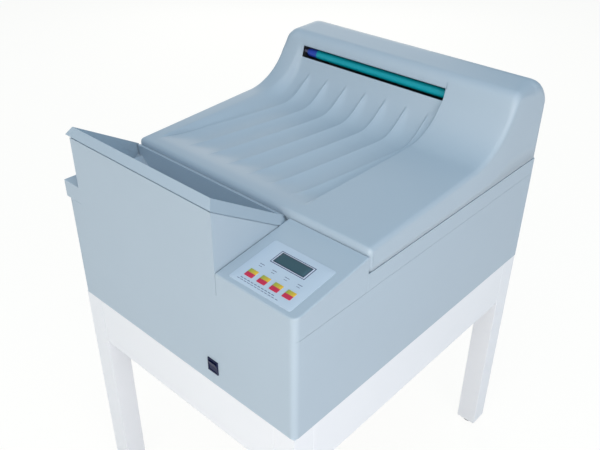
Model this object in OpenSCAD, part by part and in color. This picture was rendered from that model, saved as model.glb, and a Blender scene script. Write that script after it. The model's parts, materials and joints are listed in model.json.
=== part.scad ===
// Tabletop x-ray film processor on an open stand.
// +X is the operator's right, +Y runs to the rear, +Z is up.
// The origin is on the floor under the middle of the machine. Millimetres.

/* [Stand] */
// Height of the stand from the floor to the casing
stand_h = 524; // [400:1:650]
// Side of a square leg tube
leg_w = 48; // [40:1:60]
// Wall of a leg tube
leg_wall = 3; // [2:0.5:5]
// Height of the rails between the legs
rail_h = 113; // [60:1:160]
// Thickness of the rails
rail_t = 20; // [12:1:30]
// Distance from the casing's faces in to the legs
leg_inset = 0.5; // [0:0.5:12]
// Radius of a levelling foot
foot_r = 19; // [14:1:20]
// Height of a levelling foot
foot_h = 8; // [5:1:12]
// Radius of the foot's threaded stud
stud_r = 5; // [4:0.5:6]
// Length of the foot's threaded stud
stud_l = 22; // [16:1:30]
// Radius of the bolts that hold the casing on the stand
bolt_r = 4; // [3:0.5:5]
// Length of those bolts under the head
bolt_l = 26; // [20:1:34]

/* [Casing] */
// Width of the shoulder left of the feed hopper
shoulder_w = 51.5; // [48:0.5:60]
// Overall depth of the casing
casing_d = 742; // [734:1:780]
// Thickness of the casing panels
panel_t = 5; // [3:0.5:7]
// Radius of the casing's upright corner at the front right
corner_r = 12; // [8:1:24]
// Radius of the casing's upright corner at the front left
left_corner_r = 6; // [6:1:14]
// Height of the lower panels
belt_h = 211; // [205:1:218]
// Height of the lower left panel
left_belt_h = 228; // [222:1:232]
// Height of the seam under the lid
split_h = 247.5; // [245:0.5:250]
// How far the lower left panel stands in
left_in = 9; // [6:1:16]
// Width of the upper frame's side bars
bar_w = 18; // [16:1:22]
// How far the rear panel stands in
rear_in = 21; // [16:1:26]
// Thickness of the base pan
pan_t = 3; // [2:0.5:4]
// Height of the base pan's rim
pan_h = 25; // [15:1:30]
// Width of the flanges that the rear panel is screwed to
flange_w = 16; // [12:1:20]
// Radius of a panel screw
screw_r = 2; // [1.5:0.25:2.5]
// Radius of a panel screw's head
screw_head_r = 4; // [3.5:0.5:5]

/* [Front deck] */
// Depth of the console and the feed hopper
deck_d = 175; // [170:1:182]
// Width of the console
console_w = 175; // [165:1:182]
// Rise of the console from its front edge to its rear edge
console_rise = 25; // [18:1:28]
// Height of the lid's front edge over the console's rear edge
lid_step = 12; // [10:1:16]
// Wall of the moulded covers
cover_t = 4; // [3:0.5:5]
// How much wider than the film path the feed hopper is
hopper_extra = 0.5; // [0:0.5:4]
// Height of the feed hopper's front edge
hopper_front_h = 372; // [350:1:380]
// Width of the hopper's bevelled rim
rim_w = 11; // [9:1:12]
// Height of the rim on the hopper's sides
rim_rise = 17; // [14:0.5:18]
// How far the rim overhangs the front panel
rim_lip = 1.5; // [1:0.25:2]
// Height of the left shoulder
shoulder_h = 264; // [260:1:268]

/* [Lid] */
// Height of the lid's front edge
deck_h = 293; // [290:1:298]
// Rise of the lid's deck to the rear, in degrees
deck_slope = 3; // [2:0.25:4]
// Depth of the tower at its foot
tower_d = 166; // [160:1:172]
// Slope of the tower's front, in degrees
tower_slope = 70; // [68:0.5:73]
// Height of the tower's front edge
tower_h = 424; // [418:1:435]
// Rise of the tower's top to the rear, in degrees
top_slope = 4; // [2:0.5:5]
// Radius of the sweep from the deck up to the tower
sweep_r = 130; // [122:1:134]
// Radius of the tower's front edge
brow_r = 30; // [20:1:32]
// Radius of the tower's rear edge
rear_r = 54; // [30:1:56]
// Radius of the tower's rounded ends
end_r = 28; // [15:1:35]
// Radius of the lid's upright corners at the rear
rear_corner_r = 8; // [5:1:30]
// Radius of the lid's front edge
nose_r = 7; // [5:0.5:8]
// Wall of the lid
lid_t = 4; // [3:0.25:4.5]
// Depth of the receiving tray in the lid
tray_depth = 10.5; // [9:0.5:12]
// Width of the lid's border left of the tray
tray_left = 30; // [26:1:34]
// Width of the lid's border right of the tray, at the tower
tray_right = 151.5; // [149:0.5:152]
// How much wider that border gets towards the front
tray_drift = 17; // [12:1:20]
// Distance from the lid's front edge to the tray
tray_front = 22; // [18:1:30]
// Length over which the tray gets its depth behind its front edge
tray_ramp = 70; // [40:1:90]
// Number of ribs in the tray
rib_count = 7; // [5:1:8]
// Distance between the ribs
rib_pitch = 54.25; // [50:0.25:55]
// Width of a rib
rib_w = 22; // [16:1:26]
// Height of a rib
rib_h = 4; // [3:0.5:6]
// Shift of the ribs to the left towards the front
rib_drift = 48; // [36:1:50]
// Height of the exit slot's lower edge
slot_low = 376; // [374:0.5:377]
// Height of the exit slot
slot_h = 22; // [21:0.5:25]

/* [Film path] */
// Width of the film path
film_w = 379; // [375:1:381]
// Distance from the casing's left side to the film path
path_in = 68; // [66:0.5:70]
// Radius of the rollers
roller_r = 10; // [9.8:0.05:10.1]
// Radius of the rollers' journals
journal_r = 3.5; // [3:0.25:4]
// Gap in a nip
nip = 0.4; // [0.3:0.05:0.6]
// Teeth on a roller's gear
gear_teeth = 16; // [16:1:16]
// Width of a roller's gear
gear_w = 8; // [6:0.5:9]
// Pressure angle of the teeth, in degrees
pressure = 20; // [18:1:22]
// Thickness of the racks' side plates
plate_t = 6; // [5:0.5:7]
// Space between a roller's end and the side plate
end_float = 4; // [3:0.5:5]
// Depth of the racks' rollers under the lid's front edge
rack_roller_drop = 37; // [35:0.5:39]
// Height of the exit rollers above the casing's base
exit_roller_h = 380; // [379:0.5:381]
// Height of the dryer rollers over the racks' rollers
dryer_rise = 20; // [14:1:28]
// Distance of the front exit rollers from the rear of the casing
exit_in = 119; // [117.5:0.5:120]
// Distance from the lid's front edge back to the feed rollers
feed_in = 13; // [12.5:0.5:14]
// Length of the bush on the exit roller
bush_l = 22; // [16:1:26]

/* [Tanks and dryer] */
// Depth of the tank block's rim under the racks' rollers
rim_drop = 35; // [34:1:40]
// Height of the tank floors above the casing's base
tank_floor_h = 36; // [30:1:44]
// Wall of the tank block
tank_t = 5; // [4:0.5:6]
// Distance from the dryer's front wall back to the exit rollers
dryer_ahead = 56.8; // [50:0.1:60]
// Side clearance of a rack in its tank
rack_gap = 3; // [2:0.5:4]
// Space between a rack and its tank, in front and behind
rack_end = 7; // [6:0.5:9]
// Height of a rack over its rollers
rack_over = 15; // [12:1:17]
// Space between a rack's edges and the turnaround guide at its foot
turn_in = 8; // [4:1:16]
// Radius of a rack's tie rods
tie_r = 4; // [3:0.5:5]
// Depth of the dryer, front to rear
dryer_l = 140; // [136:1:144]
// Space between the tank block and the dryer
dryer_gap = 26; // [24:1:30]
// Depth of the fan's axis under the heater
fan_drop = 79; // [65:1:85]
// Radius of the fan's drum
fan_r = 34; // [26:1:40]
// Number of blades in the fan's drum
fan_blades = 18; // [14:1:22]
// Depth of the heater under the dryer rollers
heater_drop = 101; // [86:1:111]
// Number of fins on the heater
fin_count = 16; // [10:1:20]

/* [Drive] */
// Radius of the drive shafts
shaft_r = 5; // [4.5:0.25:5.5]
// Radius of the worms on the drive shafts
worm_r = 7; // [6.5:0.25:7.5]
// Length of a worm
worm_l = 18; // [14:1:20]
// Thickness of the shaft's bearing lugs
lug_t = 8; // [6:1:10]
// Radius of the bevel gears
bevel_r = 12; // [11:0.5:13]

/* [Console parts] */
// Width of the label plate
label_w = 136; // [134:1:142]
// Depth of the label plate
label_d = 107; // [105:1:112]
// Thickness of the label plate
label_t = 0.8; // [0.5:0.1:1.2]
// Width of the display window
lcd_w = 66.5; // [60:0.5:70]
// Depth of the display window
lcd_d = 24.5; // [20:0.5:27]
// Side of a key
key_w = 17.4; // [15:0.1:19]
// Distance between keys
key_pitch = 27.2; // [25:0.1:28]
// How far a key stands above the label plate
key_proud = 1; // [0.8:0.1:1.5]
// How far a key travels
key_travel = 0.6; // [0.4:0.1:0.7]
// Width of the power switch's bezel
switch_w = 26; // [24:0.5:30]
// Height of the power switch's bezel
switch_h = 29; // [27:0.5:34]
// How far the power switch stands proud of the front panel
switch_proud = 4; // [4:0.5:5]
// Tilt of the rocker at rest, in degrees
rocker_tilt = 8; // [5:0.5:9]

/* [Clearances] */
// Gap between pieces that move past each other
gap = 0.3; // [0.25:0.05:0.4]
// Radial clearance of a shaft in its bearing
run = 0.05; // [0.03:0.01:0.08]
// Least distance from the pieces inside to the lid
lid_clear = 2.5; // [1.5:0.1:3]

/* [Hidden] */
$fn = 48;

// Sizes that follow from others
hopper_w = film_w + hopper_extra;
casing_w = shoulder_w + hopper_w + console_w;
console_back_h = deck_h - lid_step;
console_front_h = console_back_h - console_rise;

// Faces of the casing
lid_gap = 1;
lid_in = 6;
right = casing_w / 2;
left = -right;
rear = casing_d / 2;
front = -rear;
base = stand_h;
left_face = left + left_in;
belt = base + belt_h;
left_belt = base + left_belt_h;
split = base + split_h;
rear_face = rear - rear_in;
deck_back = front + deck_d;
lid_front = deck_back + lid_gap;
console_left = right - console_w;
hopper_left = console_left - hopper_w;
console_tilt = atan((console_back_h - console_front_h) / deck_d);
big = 2000;
cut = 1;

// Film path and drive
film_left = left + path_in;
gear_off = 6;
feed_gap = 3;
rubber_in = 35;
film_right = film_left + film_w;
plate_in_left = film_left - 1 - end_float;
plate_in_right = film_right + 1 + end_float;
plate_out_left = plate_in_left - plate_t;
plate_out_right = plate_in_right + plate_t;
tank_left = plate_out_left - rack_gap - tank_t;
tank_right = plate_out_right + rack_gap + tank_t;
gear_x = tank_right + gear_off;
gear_mid = gear_x + gear_w / 2;
pitch_r = roller_r + nip / 2;
gear_module = 2 * pitch_r / gear_teeth;
tip_r = pitch_r + 0.86 * gear_module;
root_r = pitch_r - 1.1 * gear_module;
base_r = pitch_r * cos(pressure);
backlash = 0.12;
worm_gap = tip_r + worm_r + gap;
riser_reach = 56;
riser_top = 17;
rack_roller_z = base + deck_h - rack_roller_drop;
tank_rim = rack_roller_z - rim_drop;
shaft_z = rack_roller_z - worm_gap;
feed_low_z = shaft_z - worm_gap;
feed_high_z = feed_low_z + 2 * pitch_r;
feed_y = lid_front + feed_in;
tank_front = feed_y + pitch_r + feed_gap;
exit_y = rear - exit_in;
exit_rear_y = exit_y + 2 * pitch_r;
dryer_front = exit_y - dryer_ahead;
dryer_back = dryer_front + dryer_l;
tank_back = dryer_front - dryer_gap;
tank_l = (tank_back - tank_front - 4 * tank_t) / 3;
tank_y = [for (i = [0:2]) tank_front + tank_t + tank_l / 2 + i * (tank_l + tank_t)];
rack_l = tank_l - 2 * rack_end;
turn_r = rack_l / 2 - turn_in;
exit_z = base + exit_roller_h;
dryer_z = rack_roller_z + dryer_rise;
riser_y = exit_rear_y + worm_gap;
riser_low = shaft_z - riser_reach;
riser_high = exit_z + riser_top;
heater_z = dryer_z - heater_drop;
fan_z = heater_z - fan_drop;
fan_y = (dryer_front + dryer_back) / 2;
nip_z = feed_low_z + pitch_r;
exit_rubber_left = film_left + rubber_in;

// Lid
deck_z = base + deck_h;
knee_y = rear - tower_d;
knee_z = deck_z + (knee_y - lid_front) * tan(deck_slope);
brow_z = base + tower_h;
brow_y = knee_y + (brow_z - knee_z) / tan(tower_slope);
back_z = brow_z + (rear - brow_y) * tan(top_slope);
lid_low = split + gap;
lid_left = left + lid_in;
top_path = [[lid_front, deck_z], [knee_y, knee_z], [brow_y, brow_z], [rear, back_z]];
slot_z = base + slot_low;

// A direction of length 1
function unit(v) = v / norm(v);

// Points of an arc that rounds the corner b of the bend a, b, c with radius r
function corner_arc(a, b, c, r, n) =
    let (
        u = unit(a - b),
        v = unit(c - b),
        half = acos(max(-1, min(1, u * v))) / 2,
        t = r / tan(half),
        centre = b + unit(u + v) * r / sin(half),
        p = b + u * t - centre,
        q = b + v * t - centre,
        start = atan2(p.y, p.x),
        turn = atan2(p.x * q.y - p.y * q.x, p * q)
    )
    r <= 0 ? [b] : [for (i = [0:n]) centre + r * [cos(start + turn * i / n), sin(start + turn * i / n)]];

// A closed outline with its corners rounded, each by its own radius
function rounded(pts, radii, n = 8) =
    let (m = len(pts))
    [for (i = [0:m - 1]) each corner_arc(pts[(i + m - 1) % m], pts[i], pts[(i + 1) % m], radii[i], n)];

// The lid's side outline, moved inwards by t, from its front foot to its rear foot
function lid_outline(t, foot) =
    let (
        lid_lines = [
            [[lid_front + t, deck_z], 90],
            [top_path[0] + t * [sin(deck_slope), -cos(deck_slope)], deck_slope],
            [top_path[1] + t * [sin(tower_slope), -cos(tower_slope)], tower_slope],
            [top_path[2] + t * [sin(top_slope), -cos(top_slope)], top_slope],
            [[rear - t, deck_z], 90]
        ]
    )
    [
        [lid_front + t, foot],
        each [for (i = [0:3]) meet(lid_lines[i], lid_lines[i + 1])],
        [rear - t, foot]
    ];

// Where two lines meet, each given as a point and an angle
function meet(l, m) =
    let (
        d = [cos(l[1]), sin(l[1])],
        e = [cos(m[1]), sin(m[1])],
        w = m[0] - l[0],
        k = (w.x * e.y - w.y * e.x) / (d.x * e.y - d.y * e.x)
    )
    l[0] + k * d;

// The lid's side outline as a closed polygon with its bends rounded
function lid_section(t, foot) =
    rounded(
        lid_outline(t, foot),
        [0, max(nose_r - t, 0), sweep_r + t, max(brow_r - t, 2), max(rear_r - t, 2), 0],
        14
    );

// Height of the lid's deck at a distance y
function deck_at(y) = deck_z + (y - lid_front) * tan(deck_slope);

// Smooth step from 0 to 1
function ease(k) = let (c = max(0, min(1, k))) c * c * (3 - 2 * c);

// How far along its drift the tray is at a distance y: 0 where the sweep begins, 1 at the front
drift_l = 265;
rib_in = 20;
rib_fan = 3.5;
rib_sway = 8;
function drift(y) = max(0, min(1, (sweep_foot() - y) / drift_l));

// The tray's right wall
function tray_wall(y) = right - tray_right - tray_drift * drift(y);

// A rib's middle line: it sways to the right down the sweep, then runs off to the left
function rib_x(i, y) =
    right - tray_right - rib_in - i * rib_pitch
    + rib_sway * ease((knee_y - y) / (knee_y - sweep_foot()))
    - (rib_drift + rib_fan * i) * drift(y);

// Where the sweep begins behind the deck, on the tray's floor
function sweep_foot() = sweep_centre().x + (sweep_r + tray_depth) * sin(deck_slope);

// Middle of the sweep that runs from the deck up the tower
function sweep_centre() =
    let (p = lid_outline(0, base), u = unit(p[1] - p[2]), v = unit(p[3] - p[2]))
    p[2] + unit(u + v) * sweep_r / sin(acos(u * v) / 2);

// Half the angle of a gear tooth at radius r, on an involute flank
function involute(a) = tan(a) - a * PI / 180;
function tooth_half(r) =
    let (a = acos(min(1, base_r / max(r, base_r))))
    90 / gear_teeth + (involute(pressure) - involute(a) - backlash / pitch_r) * 180 / PI;
flank = [root_r, base_r, (base_r + pitch_r) / 2, pitch_r, (pitch_r + tip_r) / 2, tip_r];
function gear_points(phase) = [
    for (i = [0:gear_teeth - 1])
        each let (a = phase + i * 360 / gear_teeth) concat(
            [for (r = flank) r * [cos(a - tooth_half(r)), sin(a - tooth_half(r))]],
            [for (k = [0:len(flank) - 1])
                let (r = flank[len(flank) - 1 - k])
                r * [cos(a + tooth_half(r)), sin(a + tooth_half(r))]]
        )
];

// A flat shape drawn in Y and Z, carried from x0 to x1
module along_x(x0, x1) {
    translate([x0, 0, 0]) rotate([90, 0, 90]) linear_extrude(x1 - x0) children();
}

// A flat shape drawn in X and Z, carried from y0 to y1
module along_y(y0, y1) {
    translate([0, y1, 0]) rotate([90, 0, 0]) linear_extrude(y1 - y0) children();
}

// A flat shape drawn in X and Y, carried from z0 to z1
module along_z(z0, z1) {
    translate([0, 0, z0]) linear_extrude(z1 - z0) children();
}

// A box between two corners
module block(a, b) {
    translate(a) cube(b - a);
}

module rod_x(x0, x1, y, z, r) {
    translate([x0, y, z]) rotate([0, 90, 0]) cylinder(h = x1 - x0, r = r);
}

module rod_y(y0, y1, x, z, r) {
    translate([x, y0, z]) rotate([-90, 0, 0]) cylinder(h = y1 - y0, r = r);
}

module rod_z(z0, z1, x, y, r) {
    translate([x, y, z0]) cylinder(h = z1 - z0, r = r);
}

// ---- Stand ----
leg_y_front = front + leg_inset;
leg_y_rear = rear - leg_inset - leg_w;
leg_x_right = right - leg_inset - leg_w;
leg_x_left = left_face + leg_inset;
plug_t = 12;
leg_mid = leg_w / 2;
bolt_shift = 12;

// Where a leg's bolt is: in the middle of the tube's width, moved towards the casing's middle
function bolt_at(p) = [p.x + leg_mid, p.y + leg_mid - sign(p.y) * bolt_shift];

// A square tube with a plug at each end: the lower takes the foot, the upper the bolt
module leg(x, y) {
    color("whitesmoke")
    translate([x, y, 0])
    difference() {
        block([0, 0, foot_h], [leg_w, leg_w, stand_h]);
        block(
            [leg_wall, leg_wall, foot_h + plug_t],
            [leg_w - leg_wall, leg_w - leg_wall, stand_h - plug_t]
        );
        rod_z(foot_h - cut, foot_h + plug_t + cut, leg_mid, leg_mid, stud_r + run);
        translate([-x, -y, 0])
            rod_z(stand_h - plug_t - cut, stand_h + cut, bolt_at([x, y]).x, bolt_at([x, y]).y, bolt_r + run);
    }
}

module rail(a, b) {
    color("whitesmoke") block([a.x, a.y, stand_h - rail_h], [b.x, b.y, stand_h]);
}

module rail_front() {
    rail([leg_x_left + leg_w, leg_y_front], [leg_x_right, leg_y_front + rail_t]);
}

module rail_rear() {
    rail([leg_x_left + leg_w, leg_y_rear + leg_w - rail_t], [leg_x_right, leg_y_rear + leg_w]);
}

module rail_left() {
    rail([leg_x_left, leg_y_front + leg_w], [leg_x_left + rail_t, leg_y_rear]);
}

module rail_right() {
    rail([leg_x_right + leg_w - rail_t, leg_y_front + leg_w], [leg_x_right + leg_w, leg_y_rear]);
}

leg_corners = [for (x = [leg_x_left, leg_x_right], y = [leg_y_front, leg_y_rear]) [x, y]];

module levelling_feet() {
    color("dimgray")
    for (p = leg_corners) {
        translate([p.x + leg_mid, p.y + leg_mid, 0]) {
            rod_z(0, foot_h, 0, 0, foot_r);
            rod_z(foot_h - cut, stud_l, 0, 0, stud_r);
        }
    }
}

bolt_head_h = 6;
bolt_head_r = 1.6 * bolt_r;

// Bolts through the base pan into the legs
module stand_bolts() {
    color("silver")
    for (p = leg_corners) {
        translate([bolt_at(p).x, bolt_at(p).y, base + pan_t]) {
            difference() {
                rod_z(0, bolt_head_h, 0, 0, bolt_head_r);
                translate([0, 0, bolt_head_h / 2]) cylinder(h = bolt_head_h, r = bolt_r * 0.6, $fn = 6);
            }
            rod_z(-bolt_l, cut, 0, 0, bolt_r);
        }
    }
}

// ---- Casing ----

// A tray that catches spills: a floor with a low rim
module base_pan() {
    x0 = left_face + panel_t;
    x1 = right - panel_t;
    y0 = front + panel_t;
    y1 = rear_face - panel_t;
    inner_r = gap - panel_t;
    color("lightgray")
    difference() {
        along_z(base, base + pan_h)
            polygon(rounded([[x0, y0], [x1, y0], [x1, y1], [x0, y1]], [left_corner_r + inner_r, corner_r + inner_r, 0, 0]));
        block([x0 + pan_t, y0 + pan_t, base + pan_t], [x1 - pan_t, y1 - pan_t, base + pan_h + cut]);
        for (p = leg_corners) {
            rod_z(base - cut, base + pan_t + cut, bolt_at(p).x, bolt_at(p).y, bolt_r + run);
        }
    }
}

// A square whose front right corner, at the origin, is rounded
module corner_square(w, d, r) {
    intersection() {
        translate([-w, 0]) square([w, d]);
        union() {
            translate([-w - cut, r]) square([w + cut, d - r]);
            translate([-w - cut, 0]) square([w + cut - r, d]);
            translate([-r, r]) circle(r);
        }
    }
}

// A side panel seen from above: its front edge wraps round the corner, its rear edge has a flange
module side_plan(r) {
    difference() {
        corner_square(r, casing_d, r);
        translate([-panel_t, panel_t]) corner_square(r, casing_d, r - panel_t);
    }
}

screw_low = 60;
screw_high = 30;
screw_z = [base + screw_low, base + belt_h / 2, base + belt_h - screw_high];

module side_panel(top, r) {
    flange_y = casing_d - rear_in - 2 * panel_t;
    difference() {
        union() {
            along_z(base, top) side_plan(r);
            block([-flange_w, flange_y, base + pan_h], [-panel_t, flange_y + panel_t, base + belt_h]);
        }
        for (z = screw_z)
            rod_y(flange_y - cut, flange_y + panel_t + cut, -(flange_w + panel_t) / 2, z, screw_r);
    }
}

module right_side_panel() {
    color("lightsteelblue") translate([right, front, 0]) side_panel(belt, corner_r);
}

module left_side_panel() {
    color("lightsteelblue") translate([left_face, front, 0]) mirror([1, 0, 0]) side_panel(left_belt, left_corner_r);
}

screw_x = [left_face + (flange_w + panel_t) / 2, right - (flange_w + panel_t) / 2];
fitting_h = 60;
inlet_pos = [right - 193, base + fitting_h];
inlet_size = [48, 27];
valve_pos = [right - 103, base + fitting_h];
valve_r = 13;
drain_x = tank_right + 15;
drain_z = base + 48;
drain_r = 8;
drain_wall = 3;
drain_branch_r = 6;
drain_end = 20;
drain_tail_r = 9;
vent_x = left + 153;
vent_side = 4;
vent_top = 20;
vent_pitch = 16;
vent_w = 6;
vent_h = 50;

module rear_panel() {
    y1 = rear_face;
    y0 = y1 - panel_t;
    color("lightsteelblue")
    difference() {
        block([left_face + panel_t, y0, base], [right - panel_t, y1, belt]);
        block(
            [inlet_pos.x - inlet_size.x / 2, y0 - cut, inlet_pos.y - inlet_size.y / 2],
            [inlet_pos.x + inlet_size.x / 2, y1 + cut, inlet_pos.y + inlet_size.y / 2]
        );
        rod_y(y0 - cut, y1 + cut, valve_pos.x, valve_pos.y, valve_r);
        rod_y(y0 - cut, y1 + cut, drain_x, drain_z, drain_r + gap);
        for (x = screw_x, z = screw_z)
            rod_y(y0 - cut, y1 + cut, x, z, screw_r);
        for (i = [-vent_side:vent_side])
            block(
                [vent_x + i * vent_pitch, y0 - cut, belt - vent_top - vent_h],
                [vent_x + i * vent_pitch + vent_w, y1 + cut, belt - vent_top]
            );
    }
}

module panel_screws() {
    color("silver")
    for (x = screw_x, z = screw_z) {
        difference() {
            rod_y(rear_face, rear_face + screw_r, x, z, screw_head_r);
            rod_y(rear_face + screw_r / 2, rear_face + screw_r + cut, x, z, screw_r * 0.7);
        }
        rod_y(rear_face - 2 * panel_t - screw_r, rear_face + screw_r / 2, x, z, screw_r);
    }
}

switch_in = 20;
switch_up = 44;
switch_x = console_left - switch_in;
switch_z = base + switch_up;
switch_rim = 2;

// One plate that also forms the front of the feed hopper and of the left shoulder
module front_panel() {
    outline = [
        [left_face + left_corner_r, base],
        [right - corner_r, base],
        [right - corner_r, belt],
        [console_left, belt],
        [console_left, base + hopper_front_h],
        [hopper_left, base + hopper_front_h],
        [hopper_left, left_belt],
        [left_face + left_corner_r, left_belt]
    ];
    color("lightsteelblue")
    difference() {
        along_y(front, front + panel_t) polygon(outline);
        block(
            [switch_x - switch_w / 2 + switch_rim, front - cut, switch_z - switch_h / 2 + switch_rim],
            [switch_x + switch_w / 2 - switch_rim, front + panel_t + cut, switch_z + switch_h / 2 - switch_rim]
        );
    }
}

// The frame that ties the panels together under the lid, with the left shoulder in front
module upper_frame() {
    shoulder = base + shoulder_h;
    rear_bar = rear_in + panel_t;
    color("lightsteelblue") {
        block([right - bar_w, deck_back, belt], [right, rear, split]);
        block([left, deck_back, left_belt], [left + bar_w, rear, split]);
        block([left_face + panel_t, rear - rear_bar, belt], [right - bar_w, rear, split]);
        difference() {
            block([left, front, left_belt], [hopper_left, deck_back, shoulder]);
            block(
                [left + bar_w, front + panel_t, left_belt - cut],
                [hopper_left + cut, deck_back + cut, shoulder - cover_t]
            );
        }
    }
}

// ---- Console ----

// Places a shape on the console's sloping top: x from its left edge, y up the slope, z out of it
module on_console() {
    translate([console_left, front, base + console_front_h]) rotate([console_tilt, 0, 0]) children();
}

label_x = 19;
label_y = 10;
lcd_in = [36, 68];
key_in = [21.2, 16.5];
lcd_x = label_x + lcd_in.x + lcd_w / 2;
lcd_y = label_y + lcd_in.y + lcd_d / 2;
key_x = label_x + key_in.x + key_w / 2;
key_y = label_y + key_in.y + key_w / 2;
key_hole = key_w + 2 * gap;
module_rim = 4;
module_t = 9;

module key_holes(z0, z1) {
    for (i = [0:3])
        block(
            [key_x + i * key_pitch - key_hole / 2, key_y - key_hole / 2, z0],
            [key_x + i * key_pitch + key_hole / 2, key_y + key_hole / 2, z1]
        );
}

module control_housing() {
    top = [
        [front, base + console_front_h],
        [deck_back, base + console_back_h],
        [deck_back, belt],
        [front, belt]
    ];
    rise = cover_t * tan(console_tilt);
    drop = cover_t / cos(console_tilt);
    inner_top = [
        [front + cover_t, base + console_front_h + rise - drop],
        [deck_back - cover_t, base + console_back_h - rise - drop],
        [deck_back - cover_t, belt - cut],
        [front + cover_t, belt - cut]
    ];
    color("lightsteelblue")
    difference() {
        intersection() {
            along_x(console_left, right) polygon(top);
            along_z(belt, belt + big) translate([right, front]) corner_square(console_w, deck_d, corner_r);
        }
        intersection() {
            along_x(console_left + cover_t, right - cover_t) polygon(inner_top);
            along_z(belt - cut, belt + big)
                translate([right - cover_t, front + cover_t])
                    corner_square(console_w, deck_d, corner_r - cover_t);
        }
        on_console() {
            key_holes(-big / 10, cut);
            block(
                [lcd_x - lcd_w / 2, lcd_y - lcd_d / 2, -big / 10],
                [lcd_x + lcd_w / 2, lcd_y + lcd_d / 2, cut]
            );
        }
    }
}

board_x = [20, 160];
board_y = [15, 115];
board_t = 1.6;
board_top = -cover_t - module_t;
post_r = 3;

module label_plate() {
    color("lavender")
    on_console()
    difference() {
        block([label_x, label_y, 0], [label_x + label_w, label_y + label_d, label_t]);
        key_holes(-cut, label_t + cut);
        block([lcd_x - lcd_w / 2, lcd_y - lcd_d / 2, -cut], [lcd_x + lcd_w / 2, lcd_y + lcd_d / 2, label_t + cut]);
    }
}

module lcd_module() {
    color("darkgreen")
    on_console()
    block(
        [lcd_x - lcd_w / 2 - module_rim, lcd_y - lcd_d / 2 - module_rim, board_top],
        [lcd_x + lcd_w / 2 + module_rim, lcd_y + lcd_d / 2 + module_rim, -cover_t]
    );
}

module lcd_window() {
    color("darkslategray")
    on_console()
    block(
        [lcd_x - lcd_w / 2 + run, lcd_y - lcd_d / 2 + run, -cover_t],
        [lcd_x + lcd_w / 2 - run, lcd_y + lcd_d / 2 - run, label_t / 2]
    );
}

module key(i) {
    color("crimson")
    on_console()
    translate([key_x + i * key_pitch, key_y, 0])
    block(
        [-key_w / 2, -key_w / 2, board_top + key_travel + gap],
        [key_w / 2, key_w / 2, label_t + key_proud]
    );
}

module control_board() {
    color("darkgreen")
    on_console() {
        block([board_x[0], board_y[0], board_top - board_t], [board_x[1], board_y[1], board_top]);
        for (x = [board_x[0] + post_r, board_x[1] - post_r], y = [board_y[0] + post_r, board_y[1] - post_r])
            rod_z(board_top - cut, -cover_t, x, y, post_r);
    }
}

rocker_w = switch_w - 3 * switch_rim - 2 * gap;
rocker_half = (switch_h - 3 * switch_rim) / 2 - 1.3;
rocker_in = 3;
rocker_f = (switch_proud + rocker_in - rocker_half * sin(rocker_tilt)) / cos(rocker_tilt);
pin_r = 1.5;
switch_depth = 22;

module power_switch() {
    w = switch_w / 2;
    h = switch_h / 2;
    color("midnightblue")
    translate([switch_x, front, switch_z])
    difference() {
        union() {
            block([-w, -switch_proud / 2, -h], [w, 0, h]);
            block(
                [-w + switch_rim, -cut / 2, -h + switch_rim],
                [w - switch_rim, switch_depth, h - switch_rim]
            );
        }
        block(
            [-w + 1.5 * switch_rim, -switch_proud, -h + 1.5 * switch_rim],
            [w - 1.5 * switch_rim, rocker_in + rocker_half / 2 + 1, h - 1.5 * switch_rim]
        );
        rod_x(-w + switch_rim + gap, w - switch_rim - gap, rocker_in, 0, pin_r + run);
    }
}

module power_rocker() {
    side = [
        [-rocker_f, -rocker_half],
        [1.2 - rocker_f, 0],
        [-rocker_f, rocker_half],
        [2, 0.8 * rocker_half],
        [2, -0.8 * rocker_half]
    ];
    color("navy")
    translate([switch_x, front + rocker_in, switch_z])
    rotate([rocker_tilt, 0, 0]) {
        along_x(-rocker_w / 2, rocker_w / 2) polygon(side);
        rod_x(-rocker_w / 2 - 0.7, rocker_w / 2 + 0.7, 0, 0, pin_r);
    }
}

// ---- Feed hopper ----
hopper_top = base + hopper_front_h;
hopper_back_top = base + console_back_h;
hopper_slope = atan((hopper_top + rim_w - hopper_back_top) / (deck_d - rim_w));
hopper_back_t = 5;
throat_drop = 4;
throat_run = 30;
mouth_in = 2;
throat_h = 8;
mouth_drop = 4;
throat_z = nip_z - throat_drop;

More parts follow.
